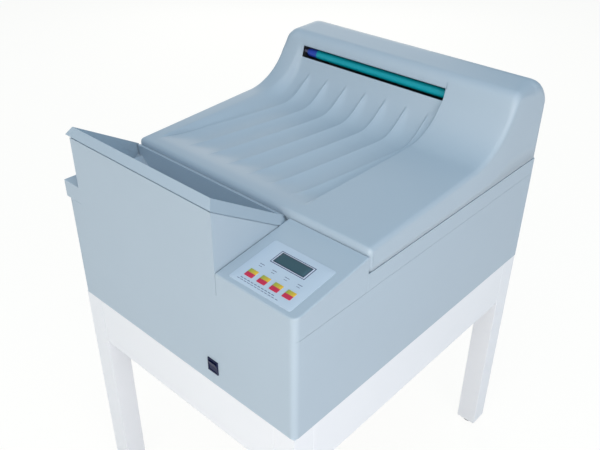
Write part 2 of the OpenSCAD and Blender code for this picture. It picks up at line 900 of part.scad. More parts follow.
// A bevelled trough: films slide down its floor to the slot in front of the feed rollers
module feed_hopper() {
    y_in = front + panel_t;
    mouth_y = front + rim_w + mouth_in;
    throat_y = deck_back - throat_run;
    side = [
        [y_in, belt],
        [y_in, hopper_top],
        [front - rim_lip, hopper_top],
        [front + rim_w, hopper_top + rim_w + rim_lip],
        [deck_back, hopper_back_top],
        [deck_back, belt]
    ];
    trough = [
        [mouth_y, big],
        [mouth_y, hopper_top - mouth_drop],
        [throat_y, throat_z],
        [deck_back - hopper_back_t, throat_z],
        [deck_back - hopper_back_t, big]
    ];
    floor_drop = cover_t / cos(hopper_slope);
    under = [
        [front + 2 * panel_t, belt - cut],
        [front + 2 * panel_t, hopper_top - rim_w - floor_drop],
        [throat_y - floor_drop, throat_z - cover_t],
        [deck_back - 2 * hopper_back_t, throat_z - cover_t],
        [deck_back - 2 * hopper_back_t, belt - cut]
    ];
    low = -big / 4;
    across = [
        [hopper_left, low],
        [hopper_left, 0],
        [hopper_left + rim_w, rim_rise * cos(hopper_slope)],
        [console_left - rim_w, rim_rise * cos(hopper_slope)],
        [console_left, 0],
        [console_left, low]
    ];
    color("lightsteelblue")
    difference() {
        intersection() {
            along_x(hopper_left, console_left) polygon(side);
            translate([0, front, hopper_top]) rotate([-hopper_slope, 0, 0]) along_y(-big / 10, big / 5) polygon(across);
        }
        along_x(hopper_left + rim_w, console_left - rim_w) polygon(trough);
        block(
            [hopper_left + rim_w, deck_back - 2 * hopper_back_t, throat_z],
            [console_left - rim_w, deck_back + cut, throat_z + throat_h]
        );
        along_x(hopper_left + cover_t, console_left - cover_t) polygon(under);
    }
}

// ---- Lid ----
front_r = 9;
slot_end = 2;

// Stations of a rib: along the deck, then up the sweep. Each is a point and the normal there.
sweep_turn = 52;
rib_front = lid_front + tray_front + 20;
front_fade = 36;
top_fade = 3.5;
deck_run = concat(
    [for (i = [0:3]) rib_front + i * front_fade / 4],
    [for (i = [0:6]) rib_front + front_fade + i * (sweep_foot() - rib_front - front_fade) / 6]
);
function floor_point(y) = [y, deck_at(y) - tray_depth / cos(deck_slope)];
rib_path = concat(
    [for (y = deck_run) [floor_point(y), [-sin(deck_slope), cos(deck_slope)]]],
    [for (i = [1:10])
        let (a = deck_slope + i * (sweep_turn - deck_slope) / 10)
        [sweep_centre() + (sweep_r + tray_depth) * [sin(a), -cos(a)], [-sin(a), cos(a)]]]
);
rib_last = len(rib_path) - 1;
rib_shape = [[-0.5, -0.4], [-0.5, 0], [-0.3, 0.55], [-0.05, 1], [0.2, 0.75], [0.5, 0], [0.5, -0.4]];

// A low rib that follows the tray's floor, drifts to the left towards the front and fades out
module rib(i) {
    n = len(rib_shape);
    points = [
        for (j = [0:rib_last])
            let (
                p = rib_path[j][0],
                u = rib_path[j][1],
                fade = 0.1 + 0.9 * ease((p.x - rib_front) / front_fade) * ease((rib_last - j) / top_fade)
            )
            each [for (q = rib_shape)
                let (h = q.y > 0 ? q.y * rib_h * fade : q.y * rib_h)
                [rib_x(i, p.x) + q.x * rib_w, p.x + u.x * h, p.y + u.y * h]]
    ];
    sides = [
        for (j = [0:rib_last - 1], k = [0:n - 1])
            let (a = j * n + k, b = j * n + (k + 1) % n)
            each [[a, a + n, b], [b, a + n, b + n]]
    ];
    polyhedron(points, concat(sides, [[for (k = [0:n - 1]) k]], [[for (k = [0:n - 1]) rib_last * n + n - 1 - k]]));
}

module lid_solid(t, foot, z0) {
    x0 = lid_left + t;
    x1 = right - t;
    y0 = lid_front + t;
    y1 = rear - t;
    r0 = max(front_r - t, 2);
    r1 = end_r - t;
    r2 = max(rear_corner_r - t, 2);
    intersection() {
        along_x(x0, x1) polygon(lid_section(t, foot));
        along_z(z0 - cut, z0 + big) polygon(rounded([[x0, y0], [x1, y0], [x1, y1], [x0, y1]], [r0, r0, r2, r2]));
        along_y(y0 - cut, y1 + cut)
            polygon(rounded([[x0, z0 - cut], [x1, z0 - cut], [x1, back_z - t], [x0, back_z - t]], [0, 0, r1, r1]));
    }
}

tray_steps = [for (i = [0:12]) lid_front + tray_front + i * (brow_y - lid_front - tray_front + 20) / 12];

// The tray seen from above, made wider by t
module tray_plan(t) {
    polygon([
        [lid_left + tray_left - t, lid_front + tray_front - t],
        each [for (y = tray_steps) [tray_wall(y) + t, y - t]],
        [lid_left + tray_left - t, brow_y + 20]
    ]);
}

// Everything above the tray's floor, lowered by t, up to the upper edge of the exit slot
module tray_room(t) {
    slot_top = slot_z + slot_h;
    section = lid_section(tray_depth + t, base - cut);
    ramp_y = lid_front + tray_front - t;
    difference() {
        translate([lid_front, base]) square([rear - lid_front, slot_top + t - base]);
        polygon(section);
        polygon([
            [ramp_y - cut, base],
            [ramp_y - cut, deck_at(ramp_y) - t],
            [ramp_y, deck_at(ramp_y) - t],
            [ramp_y + tray_ramp, deck_at(ramp_y + tray_ramp) - tray_depth - t],
            [ramp_y + tray_ramp, base]
        ]);
        translate([lid_front - cut, base - big]) square([tray_front - t + cut, 2 * big]);
    }
}

module lid_cover() {
    color("lightsteelblue")
    union() {
        difference() {
            union() {
                difference() {
                    lid_solid(0, lid_low, lid_low);
                    lid_solid(lid_t, lid_low - cut, lid_low - cut);
                }
                intersection() {
                    lid_solid(0, lid_low, lid_low);
                    along_x(lid_left, right) tray_room(lid_t);
                    along_z(base, big) tray_plan(lid_t);
                }
            }
            intersection() {
                along_x(lid_left, right) tray_room(0);
                along_z(base, big) tray_plan(0);
            }
            block(
                [film_left - slot_end, knee_y, slot_z],
                [film_right + slot_end, brow_y + 40, slot_z + slot_h]
            );
            block(
                [hopper_left + cover_t, lid_front - cut, lid_low - cut],
                [right - front_r, lid_front + front_r, hopper_back_top + gap]
            );
        }
        for (i = [0:rib_count - 1])
            rib(i);
    }
}

// ---- Rollers and their drive ----

// A roller with its journals. gears lists the left end of each gear; tooth turns them by half a pitch.
module roller(y, z, x0, x1, from, to, gears, tooth) {
    rod_x(x0, x1, y, z, roller_r);
    rod_x(from, to, y, z, journal_r);
    for (x = gears)
        translate([0, y, z]) along_x(x, x + gear_w) polygon(gear_points(tooth * 180 / gear_teeth));
}

module rack_roller(y, tooth) {
    color("slategray")
    roller(y, rack_roller_z, film_left - 1, film_right + 1, plate_out_left - 1, gear_x + gear_w, [gear_x], tooth);
}

module rack_pair_front(i) {
    rack_roller(tank_y[i] - pitch_r, 0);
}

module rack_pair_rear(i) {
    rack_roller(tank_y[i] + pitch_r, 1);
}

feed_gear_x = plate_out_left - 2 - gear_w;

module feed_roller_lower() {
    color("slategray")
    roller(
        feed_y, feed_low_z, film_left - 1, film_right + 1,
        feed_gear_x, gear_x + gear_w, [feed_gear_x, gear_x], 0
    );
}

module feed_roller_upper() {
    color("slategray")
    roller(
        feed_y, feed_high_z, film_left - 1, film_right + 1,
        feed_gear_x, plate_out_right + 1, [feed_gear_x], 1
    );
}

module dryer_roller(y, tooth) {
    color("slategray")
    roller(y, dryer_z, film_left - 1, film_right + 1, plate_out_left - 1, gear_x + gear_w, [gear_x], tooth);
}

module exit_roller_front() {
    color("darkcyan")
    roller(
        exit_y, exit_z, exit_rubber_left, film_right + 1,
        plate_out_left - 1, gear_x + gear_w, [gear_x], 0
    );
}

module exit_roller_rear() {
    color("darkcyan")
    roller(
        exit_rear_y, exit_z, film_left - 1, film_right + 1,
        plate_out_left - 1, gear_x + gear_w, [gear_x], 1
    );
}

// The blue bush beside the exit roller's rubber, with a pale collar at its outer end
module exit_bush() {
    color("royalblue")
    difference() {
        union() {
            rod_x(exit_rubber_left - bush_l, exit_rubber_left, exit_y, exit_z, roller_r - 0.5);
            rod_x(exit_rubber_left - bush_l - 6, exit_rubber_left - bush_l + cut, exit_y, exit_z, roller_r - 2);
        }
        rod_x(exit_rubber_left - bush_l - 8, exit_rubber_left + cut, exit_y, exit_z, journal_r);
    }
}

guide_t = 3;

// Two side plates with a bore for each journal, a tie rod at each corner and a guide at the foot
module rack(i) {
    y = tank_y[i];
    z0 = base + tank_floor_h;
    z1 = rack_roller_z + rack_over;
    turn_z = z0 + turn_r + 8;
    color("silver")
    difference() {
        union() {
            for (x = [plate_out_left, plate_in_right])
                block([x, y - rack_l / 2, z0], [x + plate_t, y + rack_l / 2, z1]);
            for (dy = [-1, 1], z = [z0 + 90, z1 - 45])
                rod_x(plate_in_left - cut, plate_in_right + cut, y + dy * (rack_l / 2 - 2 * tie_r), z, tie_r);
            difference() {
                rod_x(plate_in_left - cut, plate_in_right + cut, y, turn_z, turn_r);
                rod_x(plate_in_left - 2 * cut, plate_in_right + 2 * cut, y, turn_z, turn_r - guide_t);
                block([plate_in_left - 2 * cut, y - turn_r - cut, turn_z], [plate_in_right + 2 * cut, y + turn_r + cut, z1]);
            }
        }
        for (dy = [-1, 1])
            rod_x(plate_out_left - cut, plate_out_right + cut, y + dy * pitch_r, rack_roller_z, journal_r + run);
    }
}

module developer_rack() {
    rack(0);
}

module fixer_rack() {
    rack(1);
}

module wash_rack() {
    rack(2);
}

lug_half = 10;
lug_end = 10;
lug_lap = 2;
lug_h = 60;
lug_y = [
    tank_front + lug_end,
    tank_y[0] + tank_l / 2 - lug_lap,
    tank_y[1] + tank_l / 2 - lug_lap,
    tank_back - lug_end - lug_t
];

// Three tanks in one moulding, with the lugs that carry the drive shaft on its right side
module tank_block() {
    rim = tank_rim;
    color("gainsboro")
    difference() {
        union() {
            block([tank_left, tank_front, base + pan_t], [tank_right, tank_back, rim]);
            for (y = lug_y)
                block([tank_right - cut, y, rim - lug_h], [gear_mid + lug_half, y + lug_t, shaft_z + lug_half]);
        }
        for (y = tank_y)
            block(
                [tank_left + tank_t, y - tank_l / 2, base + tank_floor_h],
                [tank_right - tank_t, y + tank_l / 2, rim + cut]
            );
        block(
            [tank_left + tank_t, tank_front + tank_t, base],
            [tank_right - tank_t, tank_back - tank_t, base + tank_floor_h - tank_t]
        );
        rod_y(tank_front, tank_back, gear_mid, shaft_z, shaft_r + run);
        for (y = tank_y)
            rod_x(tank_right - 2 * tank_t, tank_right + cut, y, drain_z, drain_branch_r);
    }
}

// Two bearing plates on the front of the tank block
bridge_t = 2.5;
bridge_h = 8;
bearing_wall = 4;
bearing_over = 1;
bridge_drop = 2;

module feed_frame() {
    z0 = feed_low_z - pitch_r - feed_gap;
    z1 = feed_high_z + pitch_r + bearing_over;
    y0 = feed_y - journal_r - bearing_wall;
    color("silver")
    difference() {
        union() {
            for (x = [plate_out_left, plate_in_right])
                block([x, y0, z0], [x + plate_t, tank_front, z1]);
            block(
                [plate_in_left - cut, tank_front - bridge_t, z0 - bridge_h],
                [plate_in_right + cut, tank_front, feed_low_z - bridge_drop]
            );
        }
        for (z = [feed_low_z, feed_high_z])
            rod_x(plate_out_left - cut, plate_out_right + cut, feed_y, z, journal_r + run);
    }
}

// The dryer: a duct whose side walls carry its rollers, the exit rollers, the fan and the riser shaft
arm_h = 12;
shaft_over = 2;

module dryer_frame() {
    z0 = base + pan_t;
    z1 = exit_z + journal_r + arm_h / 2;
    color("silver")
    difference() {
        union() {
            for (x = [plate_out_left, plate_in_right])
                along_x(x, x + plate_t) intersection() {
                    translate([dryer_front, z0]) square([dryer_l, z1 - z0]);
                    polygon(lid_section(lid_t + tray_depth + lid_clear, base));
                }
            block([plate_out_left, dryer_front, z0], [plate_out_right, dryer_front + guide_t, deck_z]);
            block([plate_out_left, dryer_back - guide_t, z0], [plate_out_right, dryer_back, z1]);
            block(
                [plate_out_right - cut, riser_y - lug_half, z1 - arm_h],
                [plate_out_right + plate_t, riser_y + lug_half, riser_high + shaft_over]
            );
            block(
                [plate_out_right - cut, riser_y - lug_half, exit_z + worm_l / 2 + shaft_over / 2],
                [gear_mid + lug_half, riser_y + lug_half, riser_high + shaft_over]
            );
        }
        for (y = [exit_y, exit_rear_y], z = [exit_z, dryer_z])
            rod_x(plate_out_left - cut, plate_out_right + cut, y, z, journal_r + run);
        rod_x(plate_out_left - cut, plate_out_right + cut, fan_y, fan_z, fan_shaft_r + run);
        rod_z(z1 - 2 * arm_h, z1 + 2 * arm_h, gear_mid, riser_y, shaft_r + run);
    }
}

heater_rod_r = 6;
fin_r = 16;
fin_t = 1.5;

module dryer_heater() {
    color("gray") {
        rod_x(plate_in_left, plate_in_right, fan_y, heater_z, heater_rod_r);
        for (i = [1:fin_count])
            rod_x(
                plate_in_left + i * (plate_in_right - plate_in_left) / (fin_count + 1),
                plate_in_left + i * (plate_in_right - plate_in_left) / (fin_count + 1) + fin_t,
                fan_y, heater_z, fin_r
            );
    }
}

fan_shaft_r = 4;
blade_t = 2;
blade_l = 11;
disc_t = 3;

// A drum of blades between two discs, on a shaft
module fan_impeller() {
    x0 = plate_in_left + end_float;
    x1 = plate_in_right - end_float;
    color("dimgray") {
        rod_x(plate_out_left, gear_x, fan_y, fan_z, fan_shaft_r);
        for (x = [x0, (x0 + x1) / 2, x1 - disc_t])
            rod_x(x, x + disc_t, fan_y, fan_z, fan_r);
        translate([0, fan_y, fan_z])
        for (i = [0:fan_blades - 1])
            rotate([i * 360 / fan_blades, 0, 0])
            along_x(x0, x1) translate([fan_r - blade_l, 0]) square([blade_l - 0.5, blade_t]);
    }
}

fan_motor_r = 20;
fan_motor_l = 36;
fan_cap_l = 6;

module fan_motor() {
    color("dimgray")
    difference() {
        union() {
            rod_x(plate_out_right, gear_x + fan_motor_l, fan_y, fan_z, fan_motor_r);
            rod_x(gear_x + fan_motor_l - cut, gear_x + fan_motor_l + fan_cap_l, fan_y, fan_z, fan_motor_r / 2);
        }
        rod_x(plate_out_right - cut, gear_x + 1, fan_y, fan_z, fan_shaft_r + run);
    }
}

bevel_half = bevel_r / 2;

// The long shaft that turns the racks and the feed rollers through worms
module drive_shaft() {
    color("silver") {
        rod_y(feed_y - worm_l / 2 - 3, riser_y - bevel_half, gear_mid, shaft_z, shaft_r);
        for (y = [feed_y, for (t = tank_y) t - pitch_r])
            rod_y(y - worm_l / 2, y + worm_l / 2, gear_mid, shaft_z, worm_r);
        translate([gear_mid, riser_y - bevel_r - gap, shaft_z])
            rotate([-90, 0, 0]) cylinder(h = bevel_half, r1 = bevel_r, r2 = bevel_half);
    }
}

// The upright shaft that turns the dryer and exit rollers
module riser_shaft() {
    color("silver") {
        rod_z(riser_low, riser_high, gear_mid, riser_y, shaft_r);
        for (z = [dryer_z, exit_z])
            rod_z(z - worm_l / 2, z + worm_l / 2, gear_mid, riser_y, worm_r);
        translate([gear_mid, riser_y, shaft_z - bevel_r - gap])
            cylinder(h = bevel_half, r1 = bevel_r, r2 = bevel_half);
    }
}

gearbox = [48, 60, 32];
gearbox_wall = 4;
motor_r = 26;
motor_l = 58;

// A geared motor on the dryer's right wall
module drive_motor() {
    z1 = riser_low + gearbox.z - gearbox_wall;
    color("dimgray")
    difference() {
        union() {
            block(
                [plate_out_right, riser_y - gearbox.y / 2, z1 - gearbox.z],
                [plate_out_right + gearbox.x, riser_y + gearbox.y / 2, z1]
            );
            rod_z(z1 - gearbox.z - motor_l, z1 - gearbox.z + cut, plate_out_right + motor_r + 2, riser_y, motor_r);
        }
        rod_z(riser_low - cut, z1 + cut, gear_mid, riser_y, shaft_r + run);
    }
}

// ---- Services ----
pump_r = 26;
pump_motor_r = 21;
pump_h = 90;
pump_base_h = 30;
pump_gap = 9;
pump_x = drain_x + drain_r + pump_r + pump_gap;
pump_y = tank_y[1] - tank_l / 3 - pump_r / 6;

module circulation_pump() {
    z0 = base + pan_t;
    color("darkslateblue") {
        rod_z(z0, z0 + pump_base_h, pump_x, pump_y, pump_r);
        rod_z(z0 + pump_base_h - cut, z0 + pump_h, pump_x, pump_y, pump_motor_r);
        rod_x(drain_x + drain_r - 1, pump_x, pump_y, drain_z - pump_r, pump_r / 4);
    }
}

// The pipe that empties the three tanks through the rear panel
module drain_manifold() {
    color("whitesmoke")
    difference() {
        union() {
            rod_y(tank_y[0] - drain_end, rear_face + cut, drain_x, drain_z, drain_r);
            rod_y(rear_face + cut, rear + switch_proud, drain_x, drain_z, drain_tail_r);
            for (y = tank_y)
                rod_x(tank_right - tank_t, drain_x, y, drain_z, drain_branch_r);
        }
        rod_y(tank_y[0] - drain_end / 2, rear + switch_proud + cut, drain_x, drain_z, drain_r - drain_wall);
    }
}

supply = [84, 170, 60];
supply_gap = [12, 40];

module power_supply() {
    x0 = drain_x + drain_r + supply_gap.x;
    y0 = tank_y[1] + supply_gap.y;
    color("silver")
    block([x0, y0, base + pan_t], [x0 + supply.x, y0 + supply.y, base + pan_t + supply.z]);
}

pin_pitch = 7;
pin_rise = 4;
pin_t = 1;
pin_h = 2;
inlet_depth = 12;
inlet_floor = 2;
inlet_end = 10;
inlet_wall = 4;
inlet_flange = [5, 3, 3];

// A flush mains inlet in the rear panel
module power_inlet() {
    w = inlet_size.x / 2;
    h = inlet_size.y / 2;
    color("black")
    translate([inlet_pos.x, rear_face, inlet_pos.y])
    union() {
        difference() {
            union() {
                block([-w, 0, -h] - [inlet_flange.x, 0, inlet_flange.z], [w, 0, h] + inlet_flange);
                block([-w, -inlet_depth, -h], [w, cut, h]);
            }
            block(
                [-w + inlet_end, inlet_floor - inlet_depth, -h + inlet_wall],
                [w - inlet_end, inlet_flange.y + 1, h - inlet_wall]
            );
        }
        for (x = [-pin_pitch, 0, pin_pitch])
            translate([x, 0, x == 0 ? pin_rise : 0])
                block([-pin_t, pin_t - inlet_depth, -pin_h], [pin_t, -pin_h, pin_h]);
    }
}

valve_l = 45;
valve_coil = [32, 42, 11];
valve_bore = [30, 6];
valve_step = 2;

// A water valve whose threaded tail stands out of the rear panel
module water_valve() {
    color("white")
    difference() {
        union() {
            rod_y(rear_face - valve_l, rear_face, valve_pos.x, valve_pos.y, valve_r);
            rod_y(rear_face, rear + switch_proud, valve_pos.x, valve_pos.y, valve_r - valve_step);
            rod_z(valve_pos.y, valve_pos.y + valve_coil.y, valve_pos.x, rear_face - valve_coil.x, valve_coil.z);
        }
        rod_y(rear_face - valve_bore.x, rear + switch_proud + cut, valve_pos.x, valve_pos.y, valve_bore.y);
    }
}

leg(leg_x_left, leg_y_front);  // leg_front_left
leg(leg_x_right, leg_y_front);  // leg_front_right
leg(leg_x_left, leg_y_rear);  // leg_rear_left
leg(leg_x_right, leg_y_rear);  // leg_rear_right
rail_front();
rail_rear();
rail_left();
rail_right();
levelling_feet();
stand_bolts();
base_pan();
front_panel();
left_side_panel();
right_side_panel();
rear_panel();
upper_frame();
control_housing();
feed_hopper();
lid_cover();
panel_screws();
label_plate();
lcd_module();
lcd_window();
key(0);  // key_1
key(1);  // key_2
key(2);  // key_3
key(3);  // key_4
control_board();
power_switch();
power_rocker();
tank_block();
developer_rack();
fixer_rack();
wash_rack();
feed_frame();
feed_roller_lower();
feed_roller_upper();
rack_pair_front(0);  // developer_roller_front
rack_pair_rear(0);  // developer_roller_rear
rack_pair_front(1);  // fixer_roller_front
rack_pair_rear(1);  // fixer_roller_rear
rack_pair_front(2);  // wash_roller_front
rack_pair_rear(2);  // wash_roller_rear
dryer_roller(exit_y, 0);  // dryer_roller_front
dryer_roller(exit_rear_y, 1);  // dryer_roller_rear
exit_roller_front();
exit_roller_rear();
exit_bush();
dryer_frame();
dryer_heater();
fan_impeller();
fan_motor();
drive_shaft();
riser_shaft();
drive_motor();
circulation_pump();
drain_manifold();
power_supply();
power_inlet();
water_valve();
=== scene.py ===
# Film processor on its stand: finishes, softened panels, lid, hopper, console, studio and camera.
# Metres, in the model's own frame: +X right, +Y rear, +Z up, floor at z = 0.
import json

import bmesh
import bpy
import numpy as np
from mathutils import Matrix


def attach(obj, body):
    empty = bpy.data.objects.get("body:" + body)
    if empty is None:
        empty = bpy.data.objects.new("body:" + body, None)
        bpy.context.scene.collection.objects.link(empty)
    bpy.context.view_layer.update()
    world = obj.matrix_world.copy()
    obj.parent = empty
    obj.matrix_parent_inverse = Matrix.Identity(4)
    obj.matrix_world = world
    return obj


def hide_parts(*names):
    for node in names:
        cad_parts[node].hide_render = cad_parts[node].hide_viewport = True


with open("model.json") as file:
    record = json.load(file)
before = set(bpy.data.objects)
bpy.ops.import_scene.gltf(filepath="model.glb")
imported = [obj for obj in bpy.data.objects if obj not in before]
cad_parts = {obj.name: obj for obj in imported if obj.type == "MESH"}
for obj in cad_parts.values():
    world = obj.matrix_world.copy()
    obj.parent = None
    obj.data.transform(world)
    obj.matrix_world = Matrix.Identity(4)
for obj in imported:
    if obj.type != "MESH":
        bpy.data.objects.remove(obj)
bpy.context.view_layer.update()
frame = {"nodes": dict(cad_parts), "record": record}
nodes = frame["nodes"]
print("frame loaded:", len(nodes), "nodes")


def tone(r, g, b):
    # screen colour 0-255 to the linear value that a shader takes
    c = np.array([r, g, b]) / 255.0
    c = np.where(c <= 0.04045, c / 12.92, ((c + 0.055) / 1.055) ** 2.4)
    return (float(c[0]), float(c[1]), float(c[2]), 1.0)


def ease(k):
    # smooth step: 3k^2 - 2k^3 with k held between 0 and 1
    k = np.clip(k, 0.0, 1.0)
    return k * k * (3.0 - 2.0 * k)


def gridFaces(rows, cols, offset=0, wrap=False):
    # four-cornered faces between neighbours of a rows x cols grid of points;
    # wrap joins the last column to the first, offset is the number of the grid's first point
    span = cols if wrap else cols - 1
    r, c = np.meshgrid(np.arange(rows - 1), np.arange(span), indexing="ij")
    a, b = r * cols + c, r * cols + (c + 1) % cols
    return (np.stack([a, b, b + cols, a + cols], axis=-1) + offset).reshape(-1, 4)


def makeObject(name, points, faces, angle=38, weld=0.0):
    # smooth mesh with edges sharper than angle degrees kept; weld merges points closer than that
    mesh = bpy.data.meshes.new(name)
    loops = [f.tolist() if isinstance(f, np.ndarray) else list(f) for f in faces]
    mesh.from_pydata(np.asarray(points).reshape(-1, 3).tolist(), [], loops)
    if weld:
        work = bmesh.new()
        work.from_mesh(mesh)
        bmesh.ops.remove_doubles(work, verts=work.verts, dist=weld)
        bmesh.ops.dissolve_degenerate(work, edges=work.edges, dist=weld)
        work.to_mesh(mesh)
        work.free()
    mesh.update()
    mesh.shade_smooth()
    mesh.set_sharp_from_angle(angle=np.radians(angle))
    obj = bpy.data.objects.new(name, mesh)
    bpy.context.scene.collection.objects.link(obj)
    return obj


def place(obj, body, slotName, material, *stands):
    # the piece's finish, the body it rides on, its slot (not used) and the nodes that it stands for
    obj.data.materials.clear()
    obj.data.materials.append(material)
    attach(obj, body)
    if stands:
        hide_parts(*stands)
    return obj


def addNode(tree, kind, values=None, **settings):
    # a node with its settings and the values of its inputs
    node = tree.nodes.new(kind)
    for key, value in settings.items():
        setattr(node, key, value)
    for key, value in (values or {}).items():
        node.inputs[key].default_value = value
    return node


def newGroup(name, inputs, outputs):
    # a shader group with named sockets: label, kind of socket and default value
    group = bpy.data.node_groups.new(name, "ShaderNodeTree")
    for side, items in (("INPUT", inputs), ("OUTPUT", outputs)):
        for label, kind, value in items:
            socket = group.interface.new_socket(label, in_out=side, socket_type=kind)
            if value is not None:
                socket.default_value = value
    return group, group.nodes.new("NodeGroupInput"), group.nodes.new("NodeGroupOutput")


def skinGroup():
    # moulded or painted skin: slow drift of the colour, fine grain for bump and roughness
    group, given, out = newGroup(
        "mouldedSkin",
        [("Colour", "NodeSocketColor", (0.5, 0.5, 0.5, 1)), ("Drift", "NodeSocketFloat", 0.05),
         ("Drift Scale", "NodeSocketFloat", 3.0), ("Grain Scale", "NodeSocketFloat", 900.0),
         ("Rough", "NodeSocketFloat", 0.4), ("Rough Spread", "NodeSocketFloat", 0.08)],
        [("Colour", "NodeSocketColor", None), ("Roughness", "NodeSocketFloat", None),
         ("Height", "NodeSocketFloat", None)],
    )
    where = addNode(group, "ShaderNodeTexCoord")
    slow = addNode(group, "ShaderNodeTexNoise", {"Detail": 3.0, "Roughness": 0.55})
    fine = addNode(group, "ShaderNodeTexNoise", {"Detail": 2.0, "Roughness": 0.6})
    shift = addNode(group, "ShaderNodeMapRange", {"From Min": 0.25, "From Max": 0.75})
    low = addNode(group, "ShaderNodeMath", operation="SUBTRACT")
    low.inputs[0].default_value = 1.0
    high = addNode(group, "ShaderNodeMath", operation="ADD")
    high.inputs[0].default_value = 1.0
    scale = addNode(group, "ShaderNodeVectorMath", operation="SCALE")
    spread = addNode(group, "ShaderNodeMath", operation="MULTIPLY_ADD")
    link = group.links.new
    link(where.outputs["Object"], slow.inputs["Vector"])
    link(where.outputs["Object"], fine.inputs["Vector"])
    link(given.outputs["Drift Scale"], slow.inputs["Scale"])
    link(given.outputs["Grain Scale"], fine.inputs["Scale"])
    link(given.outputs["Drift"], low.inputs[1])
    link(given.outputs["Drift"], high.inputs[1])
    link(slow.outputs["Fac"], shift.inputs["Value"])
    link(low.outputs[0], shift.inputs["To Min"])
    link(high.outputs[0], shift.inputs["To Max"])
    link(given.outputs["Colour"], scale.inputs[0])
    link(shift.outputs["Result"], scale.inputs["Scale"])
    link(scale.outputs[0], out.inputs["Colour"])
    link(fine.outputs["Fac"], spread.inputs[0])
    link(given.outputs["Rough Spread"], spread.inputs[1])
    link(given.outputs["Rough"], spread.inputs[2])
    link(spread.outputs[0], out.inputs["Roughness"])
    link(fine.outputs["Fac"], out.inputs["Height"])
    return group


def dustGroup():
    # a thin veil of dust on what faces up, broken by noise
    group, given, out = newGroup(
        "settledDust",
        [("Colour", "NodeSocketColor", (0.5, 0.5, 0.5, 1)), ("Dust", "NodeSocketColor", (0.7, 0.7, 0.7, 1)),
         ("Amount", "NodeSocketFloat", 0.1)],
        [("Colour", "NodeSocketColor", None)],
    )
    where = addNode(group, "ShaderNodeTexCoord")
    shape = addNode(group, "ShaderNodeNewGeometry")
    up = addNode(group, "ShaderNodeSeparateXYZ")
    patch = addNode(group, "ShaderNodeTexNoise", {"Scale": 14.0, "Detail": 5.0})
    facing = addNode(group, "ShaderNodeMapRange", {"From Min": 0.3, "From Max": 1.0})
    mask = addNode(group, "ShaderNodeMath", operation="MULTIPLY")
    amount = addNode(group, "ShaderNodeMath", operation="MULTIPLY")
    mix = addNode(group, "ShaderNodeMix", data_type="RGBA")
    link = group.links.new
    link(where.outputs["Object"], patch.inputs["Vector"])
    link(shape.outputs["Normal"], up.inputs[0])
    link(up.outputs["Z"], facing.inputs["Value"])
    link(facing.outputs["Result"], mask.inputs[0])
    link(patch.outputs["Fac"], mask.inputs[1])
    link(mask.outputs[0], amount.inputs[0])
    link(given.outputs["Amount"], amount.inputs[1])
    link(amount.outputs[0], mix.inputs["Factor"])
    link(given.outputs["Colour"], mix.inputs["A"])
    link(given.outputs["Dust"], mix.inputs["B"])
    link(mix.outputs["Result"], out.inputs["Colour"])
    return group


skin = skinGroup()
dust = dustGroup()


def finish(name, colour, rough=0.4, drift=0.03, driftScale=3.0, grain=900.0, bump=0.1, depth=0.0002,
           dusty=0.0, roughSpread=0.08, **shader):
    # one material: skin group, dust on top, fine bump, and a Principled shader with its own values
    material = bpy.data.materials.new(name)
    material.use_nodes = True
    tree = material.node_tree
    bsdf = tree.nodes["Principled BSDF"]
    for key, value in shader.items():
        bsdf.inputs[key.replace("_", " ")].default_value = value
    skinNode = addNode(tree, "ShaderNodeGroup", {
        "Colour": colour, "Drift": drift, "Drift Scale": driftScale, "Grain Scale": grain,
        "Rough": rough - roughSpread / 2, "Rough Spread": roughSpread,
    }, node_tree=skin)
    dustNode = addNode(tree, "ShaderNodeGroup", {"Amount": dusty}, node_tree=dust)
    bumpNode = addNode(tree, "ShaderNodeBump", {"Strength": bump, "Distance": depth})
    link = tree.links.new
    link(skinNode.outputs["Colour"], dustNode.inputs["Colour"])
    link(dustNode.outputs["Colour"], bsdf.inputs["Base Color"])
    link(skinNode.outputs["Roughness"], bsdf.inputs["Roughness"])
    link(skinNode.outputs["Height"], bumpNode.inputs["Height"])
    link(bumpNode.outputs["Normal"], bsdf.inputs["Normal"])
    return material


